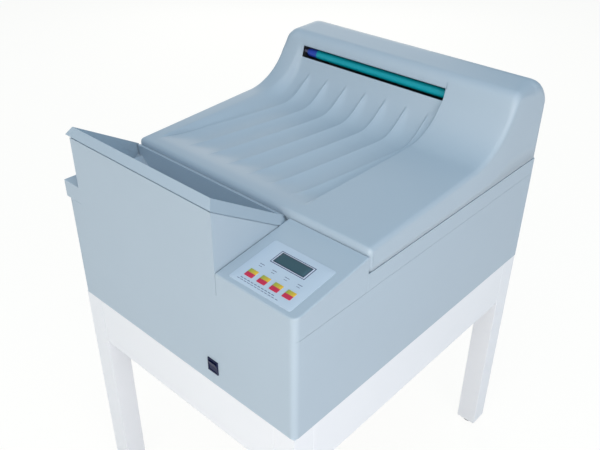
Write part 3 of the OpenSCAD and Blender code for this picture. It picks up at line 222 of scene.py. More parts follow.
# one finish for each material slot of the record
finishes = {
    "casing_plastic": finish("casingPlastic", tone(173, 190, 203), rough=0.42, drift=0.02, bump=0.08,
                             dusty=0.04),
    "stand_paint": finish("standPaint", tone(236, 239, 243), rough=0.4, drift=0.01, bump=0.12, grain=500.0),
    "foot_rubber": finish("footRubber", tone(150, 152, 156), rough=0.75, drift=0.1, bump=0.3),
    "fixing_steel": finish("fixingSteel", tone(178, 178, 180), rough=0.35, drift=0.06, Metallic=1.0),
    "pan_steel": finish("panSteel", tone(188, 190, 192), rough=0.4, drift=0.06, grain=400.0, Metallic=1.0),
    "label_film": finish("labelFilm", tone(192, 208, 223), rough=0.34, drift=0.015, bump=0.04),
    "circuit_board": finish("circuitBoard", tone(24, 92, 54), rough=0.35, drift=0.2, driftScale=60.0),
    "display_window": finish("displayWindow", tone(58, 84, 92), rough=0.16, drift=0.06, driftScale=20.0,
                             bump=0.0, Coat_Weight=0.6),
    "key_film": finish("keyFilm", tone(214, 44, 76), rough=0.35, drift=0.03),
    "switch_plastic": finish("switchPlastic", tone(6, 20, 62), rough=0.4, drift=0.06,
                             Specular_IOR_Level=0.2),
    "tank_plastic": finish("tankPlastic", tone(200, 203, 206), rough=0.5, drift=0.03),
    "rack_plastic": finish("rackPlastic", tone(88, 94, 102), rough=0.5, drift=0.06),
    "roller_grey": finish("rollerGrey", tone(96, 108, 120), rough=0.55, drift=0.05, grain=1400.0, bump=0.2),
    "roller_teal": finish("rollerTeal", tone(0, 152, 168), rough=0.4, drift=0.05, grain=1400.0, bump=0.15),
    "bush_plastic": finish("bushPlastic", tone(38, 70, 178), rough=0.3, drift=0.04),
    "dryer_steel": finish("dryerSteel", tone(184, 186, 188), rough=0.42, drift=0.06, grain=400.0,
                          Metallic=1.0),
    "heater_steel": finish("heaterSteel", tone(150, 146, 140), rough=0.45, drift=0.1, Metallic=1.0),
    "fan_plastic": finish("fanPlastic", tone(50, 50, 54), rough=0.45, drift=0.05),
    "motor_steel": finish("motorSteel", tone(58, 58, 62), rough=0.4, drift=0.05),
    "shaft_steel": finish("shaftSteel", tone(200, 200, 202), rough=0.22, drift=0.04, Metallic=1.0),
    "pump_plastic": finish("pumpPlastic", tone(44, 50, 70), rough=0.45, drift=0.05),
    "pipe_plastic": finish("pipePlastic", tone(222, 224, 225), rough=0.42, drift=0.03),
    "supply_steel": finish("supplySteel", tone(192, 194, 196), rough=0.36, drift=0.06, grain=300.0,
                           Metallic=1.0),
    "inlet_plastic": finish("inletPlastic", tone(34, 34, 36), rough=0.4, drift=0.05),
}


def paintFrom(socket, material):
    # feeds the colour of a material's skin group from a socket of the same material
    tree = material.node_tree
    for node in list(tree.nodes):
        if node.type == "GROUP" and node.node_tree == skin:
            tree.links.new(socket, node.inputs["Colour"])


def endsApart(material, low, high, cover, ends):
    # the rubber's colour between low and high along x, another on the journals and gears beyond
    tree = material.node_tree
    where = addNode(tree, "ShaderNodeTexCoord")
    split = addNode(tree, "ShaderNodeSeparateXYZ")
    offset = addNode(tree, "ShaderNodeMath", operation="SUBTRACT")
    offset.inputs[1].default_value = (low + high) / 2
    away = addNode(tree, "ShaderNodeMath", operation="ABSOLUTE")
    outside = addNode(tree, "ShaderNodeMath", operation="GREATER_THAN")
    outside.inputs[1].default_value = (high - low) / 2
    both = addNode(tree, "ShaderNodeMix", {"A": cover, "B": ends}, data_type="RGBA")
    link = tree.links.new
    link(where.outputs["Object"], split.inputs[0])
    link(split.outputs["X"], offset.inputs[0])
    link(offset.outputs[0], away.inputs[0])
    link(away.outputs[0], outside.inputs[0])
    link(outside.outputs[0], both.inputs["Factor"])
    paintFrom(both.outputs["Result"], material)


# where a roller's rubber starts and ends along x, its colour, the colour of journals and gears
rollerEnds = {
    "roller_teal": (-0.2002, 0.1452, tone(0, 158, 172), tone(122, 124, 150)),
    "roller_grey": (-0.2362, 0.1452, tone(96, 108, 120), tone(64, 68, 76)),
}
for slotName, ends in rollerEnds.items():
    endsApart(finishes[slotName], *ends)

slotOf = {part["node"]: part["material_slot"] for part in frame["record"]["subparts"]}
bodyOf = {n: body for body, members in frame["record"]["behaviour"]["bodies"].items() for n in members}
for nodeName, nodeObject in nodes.items():
    nodeObject.data.materials.clear()
    nodeObject.data.materials.append(finishes[slotOf[nodeName]])
print("finishes:", len(finishes))

# softened copies of the flat panels, tubes and boxes: width of the rounded edge, and the level
# at which edges stay sharp because the next panel continues flush there
panels = {
    "front_panel": (0.0007, 0.735), "left_side_panel": (0.0009, None), "right_side_panel": (0.0006, None),
    "rear_panel": (0.0008, None), "upper_frame": (0.0008, None), "base_pan": (0.001, None),
    "power_switch": (0.0009, None), "power_rocker": (0.0008, None), "power_inlet": (0.0006, None),
    "leg_front_left": (0.0028, None), "leg_front_right": (0.0028, None), "leg_rear_left": (0.0028, None),
    "leg_rear_right": (0.0028, None), "rail_front": (0.0022, None), "rail_rear": (0.0022, None),
    "rail_left": (0.0022, None), "rail_right": (0.0022, None), "power_supply": (0.0015, None),
    "tank_block": (0.0012, None), "drive_motor": (0.0012, None),
}
# distances in metres, angles in degrees
softening = {"merge": 1e-6, "flatAngle": 0.5, "sharpAngle": 35, "levelGap": 1e-4, "segments": 3}
# corners behind the hopper's shell that drop out of its way: lowest point, highest point, how far
hiddenCorners = {
    "upper_frame": ((-0.2525, -0.197, 0.78), (-0.2505, -0.195, 0.80), 0.031),
    "front_panel": ((-0.26, -0.38, 0.89), (0.14, -0.36, 0.90), 0.016),
}


def softened(name, width, keepLevel):
    # the node's own faces, merged, with a small rounded bevel on the sharp edges
    sharpAngle = np.radians(softening["sharpAngle"])
    work = bmesh.new()
    work.from_mesh(nodes[name].data)
    bmesh.ops.remove_doubles(work, verts=work.verts, dist=softening["merge"])
    bmesh.ops.dissolve_limit(work, angle_limit=np.radians(softening["flatAngle"]), verts=work.verts,
                             edges=work.edges)
    if name in hiddenCorners:
        low, high, drop = hiddenCorners[name]
        for vert in work.verts:
            if all(low[k] < vert.co[k] < high[k] for k in range(3)):
                vert.co.z -= drop
    weights = work.edges.layers.float.new("bevel_weight_edge")
    for edge in work.edges:
        sharp = len(edge.link_faces) == 2 and edge.calc_face_angle(0.0) > sharpAngle
        flush = keepLevel is not None and all(
            abs(v.co.z - keepLevel) < softening["levelGap"] for v in edge.verts)
        edge[weights] = 1.0 if sharp and not flush else 0.0
    mesh = bpy.data.meshes.new(name + "_soft")
    work.to_mesh(mesh)
    work.free()
    mesh.shade_smooth()
    mesh.set_sharp_from_angle(angle=sharpAngle)
    obj = bpy.data.objects.new(name + "_soft", mesh)
    bpy.context.scene.collection.objects.link(obj)
    bevel = obj.modifiers.new("softEdge", "BEVEL")
    bevel.width = width
    bevel.segments = softening["segments"]
    bevel.limit_method = "WEIGHT"
    flats = obj.modifiers.new("flats", "WEIGHTED_NORMAL")
    flats.keep_sharp = True
    return place(obj, bodyOf[name], slotOf[name], finishes[slotOf[name]], name)


for panelName, (edgeWidth, keepLevel) in panels.items():
    softened(panelName, edgeWidth, keepLevel)
print("panels softened:", len(panels))

# lid: receiving tray and tower in one shell
lid = {
    "front": -0.195, "rear": 0.371, "left": -0.297, "right": 0.303, "foot": 0.7738, "wall": 0.003,
    # side outline: heights, slopes in degrees, radii of its corners, the top's rise to the rear wall
    "deckHeight": 0.817, "deckSlope": 3.0, "knee": 0.205, "towerSlope": 70.0, "browHeight": 0.948,
    "topSlope": 4.0, "noseRound": 0.009, "sweepRound": 0.130, "browRound": 0.030, "rearRound": 0.054,
    "rearRise": 0.005,
    # radii of the side edges at four places: below the slot's upper edge, above it, before the rear
    # corner and on it; how far along the outline those lie from the front, the edge and the rear wall
    "leftRounds": (0.012, 0.029, 0.036, 0.020), "rightRounds": (0.0105, 0.015, 0.030, 0.018),
    "rearEndRound": 0.008, "roundsFrom": 0.40, "roundsUnder": 0.02, "roundsOver": 0.03,
    "roundsRear": (0.085, 0.03),
    # tray: its depth, the flat border on its left, the broad slope inside that, the border and the
    # crisp wall on its right, and where it begins at the front and dies out on the tower
    "trayDepth": 0.0122, "trayLeft": 0.0305, "trayLeftSweep": 0.0145, "trayLeftFrom": 0.120,
    "trayLeftRun": 0.095, "slopeWidth": 0.020, "slopeGain": 0.037, "slopeFrom": 0.215, "slopeRun": 0.10,
    "trayRight": 0.1515, "trayDrift": 0.017, "wallWidth": 0.0105, "wallWidthSlot": 0.0035,
    "wallHeight": 0.895, "wallRun": 0.03, "trayStart": 0.022, "trayTop": 0.872, "trayRun": 0.070,
    # where the right wall and the ribs start to drift to the left, over which length, how gently
    "sweepFoot": 0.119, "driftLength": 0.265, "driftBend": 0.028,
    "slotLow": 0.900, "slotHigh": 0.922, "slotLeft": -0.2345,
    # ribs: count, place and size, the crease at the foot of each, sideways run, where they fade
    "ribs": 7, "ribFirst": 0.1315, "ribPitch": 0.05425, "ribHeight": 0.0060, "ribFace": 0.0062,
    "footGap": 0.001, "crease": 0.0009, "creaseWidth": 0.0014, "creasePlace": 1.08, "ribDrift": 0.048,
    "ribFan": 0.0035, "ribSway": 0.008, "ribStart": 0.879, "ribStartRun": 0.024, "ribEnd": 0.043,
    "ribEndRun": 0.040, "ribReach": 0.010, "reachGain": 0.026, "reachFrom": 0.872, "reachRun": 0.045,
    "ribFade": 1.5,
}
# the lid's mesh. Rows: lengths along the outline between which they are evenly spaced, and how many.
# Columns between two knots: shares of the gap, but "face" is in widths of a rib's face and "slope"
# in millimetres after a crest
lidGrid = {
    "noseGap": 0.0004, "noseRun": 0.014, "deckRun": 0.33, "browRun": 0.05, "rearRun": 0.078,
    "rowCounts": (9, 70, 56, 8, 16, 14, 16), "sideSteps": 5, "endSteps": 7,
    "border": (0, 0.5), "trayEdge": np.arange(0, 1, 0.2), "beforeRibs": (0, 0.15, 0.3, 0.45, 0.6),
    "face": (1.5, 1.3, 1.15, 1.0, 0.9, 0.78, 0.62, 0.42, 0.2), "nextFace": 0.0135,
    "slope": (0, 0.8, 1.8, 3, 5, 8, 12, 16, 21, 27),
    "afterRibs": (0, 0.06, 0.12, 0.19, 0.28, 0.4, 0.55, 0.72, 0.88),
    "wall": (0, 0.2, 0.4, 0.55, 0.7, 0.82, 0.9, 0.96),
    "rightBorder": (0, 0.02, 0.06, 0.12, 0.2, 0.3, 0.4, 0.5, 0.6, 0.7, 0.8, 0.9),
}


def roundedPath(corners, radii, step=0.0006):
    # straight runs between the corners, each corner replaced by an arc of its own radius
    # that touches both runs; returns the points at an even spacing along the path
    parts = [corners[0][None, :]]
    for before, corner, after, radius in zip(corners[:-2], corners[1:-1], corners[2:], radii):
        u = (before - corner) / np.linalg.norm(before - corner)
        v = (after - corner) / np.linalg.norm(after - corner)
        half = np.arccos(np.clip(u @ v, -1, 1)) / 2
        middle = corner + (u + v) / np.linalg.norm(u + v) * radius / np.sin(half)
        p, q = corner + u * radius / np.tan(half) - middle, corner + v * radius / np.tan(half) - middle
        start, turn = np.arctan2(p[1], p[0]), np.arctan2(p[0] * q[1] - p[1] * q[0], p @ q)
        angles = start + turn * np.linspace(0, 1, 60)
        parts.append(middle + radius * np.stack([np.cos(angles), np.sin(angles)], axis=1))
    parts.append(corners[-1][None, :])
    path = np.concatenate(parts)
    along = np.concatenate([[0], np.cumsum(np.linalg.norm(np.diff(path, axis=0), axis=1))])
    even = np.arange(0, along[-1], step)
    return np.stack([np.interp(even, along, path[:, k]) for k in (0, 1)], axis=1), even


def lidOutline(d):
    # side outline: foot, nose, deck, sweep up to the tower, brow, top, rear corner, foot;
    # returns its points, the length along it, its outward normals and where the brow begins
    deck, tower, top = (np.tan(np.radians(d[k])) for k in ("deckSlope", "towerSlope", "topSlope"))
    kneeHeight = d["deckHeight"] + (d["knee"] - d["front"]) * deck
    brow = d["knee"] + (d["browHeight"] - kneeHeight) / tower
    corners = np.array([
        [d["front"], d["foot"]], [d["front"], d["deckHeight"]], [d["knee"], kneeHeight],
        [brow, d["browHeight"]], [d["rear"], d["browHeight"] + (d["rear"] - brow) * top],
        [d["rear"], d["foot"]],
    ])
    path, along = roundedPath(corners, [d["noseRound"], d["sweepRound"], d["browRound"], d["rearRound"]])
    slope = np.gradient(path, along, axis=0)
    slope /= np.linalg.norm(slope, axis=1)[:, None]
    return path, along, np.stack([-slope[:, 1], slope[:, 0]], axis=1), brow


def lidRows(d, g, path, along):
    # lengths along the outline, closer where it bends and at the slot's two edges; returns them,
    # the slot's two edges, where the rear wall begins, and the first and last row between the walls
    noseStart = d["deckHeight"] - d["noseRound"] - d["foot"] + g["noseGap"]
    climb = len(path) * 2 // 3
    slot = np.interp([d["slotLow"], d["slotHigh"]], path[:climb, 1], along[:climb])
    rear = along[-1] - (d["browHeight"] + d["rearRise"] - d["rearRound"] - d["foot"])
    stops = [noseStart, noseStart + g["noseRun"], g["deckRun"], *slot, slot[1] + g["browRun"],
             rear - g["rearRun"], rear]
    runs = [np.linspace(a, b, n)[:-1] for a, b, n in zip(stops[:-1], stops[1:], g["rowCounts"])]
    inner = np.concatenate(runs + [[rear]])
    down = np.linspace(0, 1, g["sideSteps"])[:-1]
    rows = np.concatenate([down * noseStart, inner, rear + (1 - down[::-1]) * (along[-1] - rear)])
    return rows, slot, rear, len(down), len(down) + len(inner) - 1


def lidKnots(d, y, z):
    # what runs from front to rear, as one x for each row: the tray's two walls, the slot's left end
    # and the rib crests. A crest sways to the right down the sweep, then runs off to the left.
    past = d["sweepFoot"] - y
    drift = np.clip((past + np.sqrt(past ** 2 + d["driftBend"] ** 2)) / 2 / d["driftLength"], 0, 1)
    sway = d["ribSway"] * ease((d["knee"] - y) / (d["knee"] - d["sweepFoot"]))
    crests = [d["ribFirst"] - d["ribPitch"] * i + sway - (d["ribDrift"] + d["ribFan"] * i) * drift
              for i in range(d["ribs"])]
    wallTop = d["right"] - d["trayRight"] - d["trayDrift"] * drift
    widen = d["wallWidth"] - d["wallWidthSlot"]
    wallWidth = d["wallWidthSlot"] + widen * ease((d["wallHeight"] - z) / d["wallRun"])
    trayLeft = d["left"] + d["trayLeft"]
    wallLeft = trayLeft + d["trayLeftSweep"] * ease((y - d["trayLeftFrom"]) / d["trayLeftRun"])
    lastFoot = crests[-1] - d["ribFace"] - d["footGap"]
    towerLeft = trayLeft + d["trayLeftSweep"]
    towerFoot = d["ribFirst"] - d["ribPitch"] * (d["ribs"] - 1) - d["ribFace"] - d["footGap"]
    slotEdge = wallLeft + (lastFoot - wallLeft) * (d["slotLeft"] - towerLeft) / (towerFoot - towerLeft)
    return crests, wallLeft, wallTop, wallWidth, lastFoot, slotEdge


def lidColumns(d, g):
    # each column's knot, its share of the gap to the next knot, and a fixed distance added to that
    def shares(values):
        return [(k, 0.0) for k in values]

    before = [(1.0, -d["ribFace"] * k) for k in g["face"]]
    after = [(0.0, k / 1000) for k in g["slope"]]
    spread = [shares(g["border"]), shares(g["trayEdge"]), shares(g["beforeRibs"]) + before]
    spread += [after + [(1.0, -g["nextFace"])] + before] * (d["ribs"] - 1)
    spread += [shares(g["afterRibs"]), shares(g["wall"]), shares(g["rightBorder"])]
    knotOf = np.concatenate([[k] * len(items) for k, items in enumerate(spread)])
    share = np.array([item[0] for items in spread for item in items])
    shift = np.array([item[1] for items in spread for item in items])
    return knotOf, share, shift


def lidRelief(d, x, y, z, brow, crests, wallLeft, wallTop, wallWidth, lastFoot):
    # how far a point stands above the plain outline. Tray: its depth times a share across (broad
    # slope on the left, crisp wall on the right) times a share along. Ribs: steep on the left, flat
    # at the crest, then a slope that dies out to the right, with a fine crease before each rib.
    broad = d["slopeWidth"] + d["slopeGain"] * ease((d["slopeFrom"] - y) / d["slopeRun"])
    left = ease((x - wallLeft) / np.minimum(broad, lastFoot - wallLeft))
    right = 1 - (1 - np.clip((wallTop - x) / wallWidth, 0, 1)) ** 2
    start = ease((y - d["front"] - d["trayStart"]) / d["trayRun"])
    length = np.where(y > brow, 0.0, start * (1 - ease((z - d["trayTop"]) / d["trayRun"])))
    sunk = d["trayDepth"] * left * right * length

    lift, crease = 0 * x, 0 * x
    reach = d["ribReach"] + d["reachGain"] * ease((d["reachFrom"] - z) / d["reachRun"])
    end = ease((y - d["front"] - d["ribEnd"]) / d["ribEndRun"])
    fade = ease((d["ribStart"] - z) / d["ribStartRun"]) * end
    for crest in crests:
        gap = x - crest[:, None]
        rising = np.clip(1 + gap / d["ribFace"], 0, 1)
        falling = np.clip(1 - gap / reach, 0, 1)
        lift = np.maximum(lift, np.where(gap < 0, 1 - (1 - rising) ** 2, falling ** 2))
        foot = gap + d["ribFace"] * d["creasePlace"]
        crease = np.maximum(crease, np.exp(-(foot / d["creaseWidth"]) ** 2))
    ribs = (d["ribHeight"] * lift - d["crease"] * crease) * fade
    return ribs * np.clip(left * d["ribFade"], 0, 1) * right * (y < brow) - sunk


def lidSurface(d, g):
    # a point is its place on the side outline plus the relief times the outline's normal, at an x
    # between two knots; both side edges are rounded, and walls drop from them to the foot
    path, along, normal, brow = lidOutline(d)
    rows, slot, rear, first, last = lidRows(d, g, path, along)
    y, z = (np.interp(rows, along, path[:, k]) for k in (0, 1))
    normalY, normalZ = (np.interp(rows, along, normal[:, k])[:, None] for k in (0, 1))
    stations = [0, d["roundsFrom"], slot[1] - d["roundsUnder"], slot[1] + d["roundsOver"],
                rear - d["roundsRear"][0], rear - d["roundsRear"][1], rear]
    leftRound, rightRound = (
        np.interp(rows, stations, [d["noseRound"], d["noseRound"], *d[k], d["rearEndRound"]])[:, None]
        for k in ("leftRounds", "rightRounds")
    )

    # points across each row, between its knots
    crests, wallLeft, wallTop, wallWidth, lastFoot, slotEdge = lidKnots(d, y, z)
    knots = np.stack([d["left"] + leftRound[:, 0], wallLeft, slotEdge] + crests[::-1]
                     + [wallTop - wallWidth, wallTop, d["right"] - rightRound[:, 0]], axis=1)
    knotOf, share, shift = lidColumns(d, g)
    across = knots[:, knotOf] * (1 - share) + knots[:, knotOf + 1] * share + shift
    across = np.sort(np.concatenate([across, knots[:, -1:]], axis=1), axis=1)
    y, z = y[:, None], z[:, None]
    relief = lidRelief(d, across, y, z, brow, crests, wallLeft[:, None], wallTop[:, None],
                       wallWidth[:, None], lastFoot[:, None])

    # rounded ends: a quarter turn from the surface's normal to the side's
    turn = np.radians(np.linspace(0, 90, g["endSteps"]))[None, :]
    endLeft = d["left"] + leftRound - leftRound * np.sin(turn)
    endRight = d["right"] - rightRound + rightRound * np.sin(turn)
    across = np.concatenate([endLeft[:, :0:-1], across, endRight[:, 1:]], axis=1)
    fall = np.cos(turn) - 1
    relief = np.concatenate([(leftRound * fall)[:, :0:-1], relief, (rightRound * fall)[:, 1:]], axis=1)
    surface = np.stack([across, y + normalY * relief, z + normalZ * relief], axis=-1)
    rowCount, colCount = across.shape
    faces = gridFaces(rowCount, colCount)

    # the exit slot: no faces between its edges, from the knot at its left end to the tray's wall
    lowRow, highRow = (int(np.argmin(np.abs(rows - k))) for k in slot)
    leftCol, rightCol = (g["endSteps"] - 1 + int(np.searchsorted(knotOf, k)) for k in (2, 3 + d["ribs"]))
    faceRow, faceCol = np.divmod(faces[:, 0], colCount)
    inSlot = (faceRow >= lowRow) & (faceRow < highRow) & (faceCol >= leftCol) & (faceCol < rightCol)
    points, allFaces = [surface.reshape(-1, 3)], [faces[~inSlot]]

    # side walls: straight down from the rounded end to the foot
    count = rowCount * colCount
    steps = g["sideSteps"]
    drop = np.linspace(0, 1, steps)[None, :]
    for column, flip in ((0, True), (-1, False)):
        rim = surface[first: last + 1, column]
        side = np.repeat(rim[:, None], steps, axis=1)
        side[..., 2] = rim[:, 2:3] * (1 - drop) + d["foot"] * drop
        points.append(side.reshape(-1, 3))
        wall = gridFaces(len(rim), steps, count)
        allFaces.append(wall[:, ::-1] if flip else wall)
        count += len(rim) * steps
    return np.concatenate(points), np.concatenate(allFaces)


lidPoints, lidFaces = lidSurface(lid, lidGrid)
lidShell = makeObject("lidShell", lidPoints, lidFaces, angle=50, weld=2e-5)
shell = lidShell.modifiers.new("wall", "SOLIDIFY")
shell.thickness = lid["wall"]
shell.offset = -1.0
place(lidShell, "lid", "casing_plastic", finishes["casing_plastic"], "lid_cover")
print("lid:", len(lidPoints), "points")

# feed hopper: bevelled rim, sloping trough, film slot at the back
hopper = {
    "left": -0.2535, "right": 0.12815, "front": -0.371, "back": -0.1958, "foot": 0.7352,
    # how far the left wall stands out at the back, and the left side's own lip, rim and thickness
    "flare": 0.043, "leftLip": 0.011, "leftBackLip": 0.002, "leftRim": 0.0035, "leftWall": 0.003,
    "wallFront": -0.37115, "rim": 0.011, "lip": 0.0015, "groove": 0.0022, "grooveHeight": 0.0026,
    # the rim's outer and inner edge at the front, its inner edge at the back, the outer one below that
    "rimHeight": 0.8952, "rimInner": 0.9092, "backHeight": 0.8045, "rimRise": 0.0192,
    # trough
    "mouthFront": -0.358, "mouthLow": 0.892, "throatStart": -0.226, "throat": 0.749,
    "slotTop": 0.757, "backWall": -0.201,
    "sidePoints": 15, "frontPoints": 13, "edge": 0.0009,
}


def hopperSurface(d):
    # rings along the left side, the front and the right side: the wall's foot, the wall's top, a groove
    # under the rim, the rim's outer edge, its inner edge and the trough's lower edge; then the trough's
    # floor, the wall behind it with the film slot below, and the two flat faces that close the piece
    count, across = d["sidePoints"], d["frontPoints"]
    t = np.linspace(0, 1, count)
    s = np.linspace(0, 1, across)[1:-1]

    def footAt(y):
        return 0 * y + d["foot"]

    def innerAt(y):
        fall = (d["rimInner"] - d["backHeight"]) / (d["back"] - d["front"] - d["rim"])
        return d["rimInner"] - fall * (y - d["front"] - d["rim"])

    def outerAt(y):
        fall = (d["rimHeight"] - d["backHeight"] + d["rimRise"]) / (d["back"] - d["front"])
        return d["rimHeight"] - fall * (y - d["front"])

    def grooveAt(y):
        return outerAt(y) - d["grooveHeight"]

    def floorAt(y):
        return np.interp(y, [d["mouthFront"], d["throatStart"], d["back"]],
                         [d["mouthLow"], d["throat"], d["throat"]])

    def ring(leftOut, rightOut, front, heightAt):
        # the left wall stands away from the middle towards the back
        y = d["back"] + (front - d["back"]) * t
        x0, x1 = d["left"] - leftOut, d["right"] + rightOut
        back = d["left"] - min(leftOut, d["leftBackLip"]) - d["flare"]
        return np.concatenate([
            np.stack([x0 * t + back * (1 - t), y, heightAt(y)], axis=1),
            np.stack([x0 + (x1 - x0) * s, 0 * s + front, heightAt(0 * s + front)], axis=1),
            np.stack([0 * t + x1, y, heightAt(y)], axis=1)[::-1],
        ])

    rings = np.stack([
        ring(0.0, 0.0, d["wallFront"], footAt),
        ring(0.0, 0.0, d["wallFront"], grooveAt),
        ring(0.0, -d["groove"], d["wallFront"] + d["groove"], grooveAt),
        ring(0.0, -d["groove"], d["wallFront"] + d["groove"], outerAt),
        ring(d["leftLip"], d["lip"] / 2, d["front"] - d["lip"], outerAt),
        ring(d["leftRim"], -d["rim"], d["front"] + d["rim"], innerAt),
        ring(-d["leftWall"], -d["rim"], d["mouthFront"], floorAt),
    ])
    m = rings.shape[1]
    points = [rings.reshape(-1, 3)]
    last = len(rings) - 1
    faces = list(gridFaces(last + 1, m)[:, ::-1])
    floorStart = (last + 1) * m
    k = np.linspace(0, 1, across)[None, :, None]
    floor = rings[last, :count][:, None] * (1 - k) + rings[last, -count:][::-1][:, None] * k
    points.append(floor.reshape(-1, 3))
    faces += list(gridFaces(count, across, floorStart)[:, ::-1])
    # the wall behind the trough: its four edges, run from side to side
    x = np.linspace(d["left"] + d["leftWall"] - d["flare"], d["right"] - d["rim"], across)
    edges = [(d["backWall"], d["slotTop"]), (d["backWall"], d["backHeight"]), (d["back"], d["backHeight"]),
             (d["back"], d["slotTop"]), (d["backWall"], d["slotTop"])]
    points.append(np.concatenate([np.stack([x, 0 * x + y, 0 * x + z], axis=1) for y, z in edges]))
    faces += list(gridFaces(len(edges), across, floorStart + count * across))
    # back and bottom
    left, right = np.arange(last + 1) * m, np.arange(last + 1) * m + m - 1
    faces.append(list(left[:last]) + [floorStart + j for j in range(across)] + list(right[:last][::-1]))
    faces.append(list(range(m)))
    return np.concatenate(points), faces


def softenEdges(obj, width, angle=25, segments=3):
    # a small rounded bevel on the sharp edges, then normals weighted by area so that flats stay flat
    bevel = obj.modifiers.new("softEdge", "BEVEL")
    bevel.width = width
    bevel.segments = segments
    bevel.limit_method = "ANGLE"
    bevel.angle_limit = np.radians(angle)
    flats = obj.modifiers.new("flats", "WEIGHTED_NORMAL")
    flats.keep_sharp = False


hopperPoints, hopperFaces = hopperSurface(hopper)
hopperShell = makeObject("hopperShell", hopperPoints, hopperFaces, angle=180, weld=1e-5)
softenEdges(hopperShell, hopper["edge"])
place(hopperShell, "casing", "casing_plastic", finishes["casing_plastic"], "feed_hopper")
print("hopper:", len(hopperPoints), "points")


def closedRings(rings):
    # one mesh from rings of equal length, joined in order and closed at the top and the bottom
    grid = np.stack(rings)
    rows, m = grid.shape[:2]
    faces = list(gridFaces(rows, m, wrap=True))
    faces.append(list(range((rows - 1) * m, rows * m)))
    faces.append(list(range(m))[::-1])
    return grid.reshape(-1, 3), faces


def slabPoints(x0, x1, y0, y1, z0, z1, corner, edge, dome=0.0, steps=5):
    # rings of a rounded rectangle: straight up the side, a quarter turn over the edge,
    # then shrinking rings over the top, which may be domed
    angle = np.radians(np.concatenate([np.linspace(a, a + 90, steps) for a in (0, 90, 180, 270)]))
    sx = np.repeat([1, -1, -1, 1], steps)
    sy = np.repeat([1, 1, -1, -1], steps)
    turn = np.radians(np.linspace(0, 90, 4))
    inset = np.concatenate([[0], edge * (1 - np.cos(turn))])
    height = np.concatenate([[z0], z1 - edge + edge * np.sin(turn)])
    cx, cy, hx, hy = (x0 + x1) / 2, (y0 + y1) / 2, (x1 - x0) / 2, (y1 - y0) / 2
    rings = []
    for k, up in zip(inset, height):
        r = max(corner - k, 1e-5)
        rings.append(np.stack([cx + sx * (hx - k - r) + r * np.cos(angle),
                               cy + sy * (hy - k - r) + r * np.sin(angle), 0 * angle + up], axis=1))
    for shrink in (0.7, 0.4, 0.15):
        top = rings[len(inset) - 1].copy()
        top[:, 0] = cx + (top[:, 0] - cx) * shrink
        top[:, 1] = cy + (top[:, 1] - cy) * shrink
        top[:, 2] = z1 + dome * (1 - shrink ** 2)
        rings.append(top)
    return closedRings(rings)


# console: the box with the sloping top, beside the hopper
console = {
    "left": 0.1291, "right": 0.303, "front": -0.371, "back": -0.1963, "foot": 0.735, "seam": 0.0006,
    "frontHeight": 0.780, "backHeight": 0.805, "slopeLength": 0.175, "corner": 0.012, "edge": 0.0030,
    "seamEdge": 0.3, "cornerPoints": 9, "edgePoints": 6, "originX": 0.128,
}
tilt = np.arctan((console["backHeight"] - console["frontHeight"]) / console["slopeLength"])
consoleOrigin = np.array([console["originX"], console["front"], console["frontHeight"]])
consoleAxes = np.array([[1, 0, 0], [0, np.cos(tilt), np.sin(tilt)], [0, -np.sin(tilt), np.cos(tilt)]])


def onConsole(points):
    # from the console's own x (across), y (up the slope), z (out of it) to the model's frame
    return consoleOrigin + np.asarray(points) @ consoleAxes


def consoleSurface(d):
    # rings of the plan outline, its front right corner rounded; up the wall, then a quarter turn
    # onto the sloping top; the seams on the left and at the back get a tighter turn
    def outline(inset):
        tight = inset * d["seamEdge"]
        corner = d["corner"] - inset
        angle = np.radians(np.linspace(-90, 0, d["cornerPoints"]))
        arc = np.stack([d["right"] - d["corner"] + corner * np.cos(angle),
                        d["front"] + d["corner"] + corner * np.sin(angle)], axis=1)
        left, back = d["left"] + tight, d["back"] - tight
        rear = [[d["right"] - inset, back], [left, back]]
        return np.concatenate([[[left, d["front"] + inset]], arc, rear])

    wall = outline(0.0)
    foot = d["foot"] + d["seam"] * ease((wall[:, 1] - d["front"]) / d["corner"])
    rings = [np.column_stack([wall, foot])]
    for angle in np.radians(np.linspace(0, 90, d["edgePoints"])):
        plan = outline(d["edge"] * (1 - np.cos(angle)))
        slope = d["frontHeight"] + (plan[:, 1] - d["front"]) * np.tan(tilt)
        rings.append(np.column_stack([plan, slope + (d["edge"] * np.sin(angle) - d["edge"])]))
    return closedRings(rings)


consolePoints, consoleFaces = consoleSurface(console)
consoleShell = makeObject("consoleShell", consolePoints, consoleFaces, angle=30)
consoleShell.modifiers.new("flats", "WEIGHTED_NORMAL").keep_sharp = True
place(consoleShell, "casing", "casing_plastic", finishes["casing_plastic"], "control_housing")

# label plate, on the console's own axes
label = {"x": (0.0225, 0.1555), "y": (0.0095, 0.1185), "thick": 0.0008, "corner": 0.004, "edge": 0.0003}
labelPoints, labelFaces = slabPoints(*label["x"], *label["y"], 0.0, label["thick"], label["corner"],
                                     label["edge"])
labelPlate = makeObject("labelPlate", onConsole(labelPoints), labelFaces)
place(labelPlate, "casing", "label_film", finishes["label_film"], "label_plate")

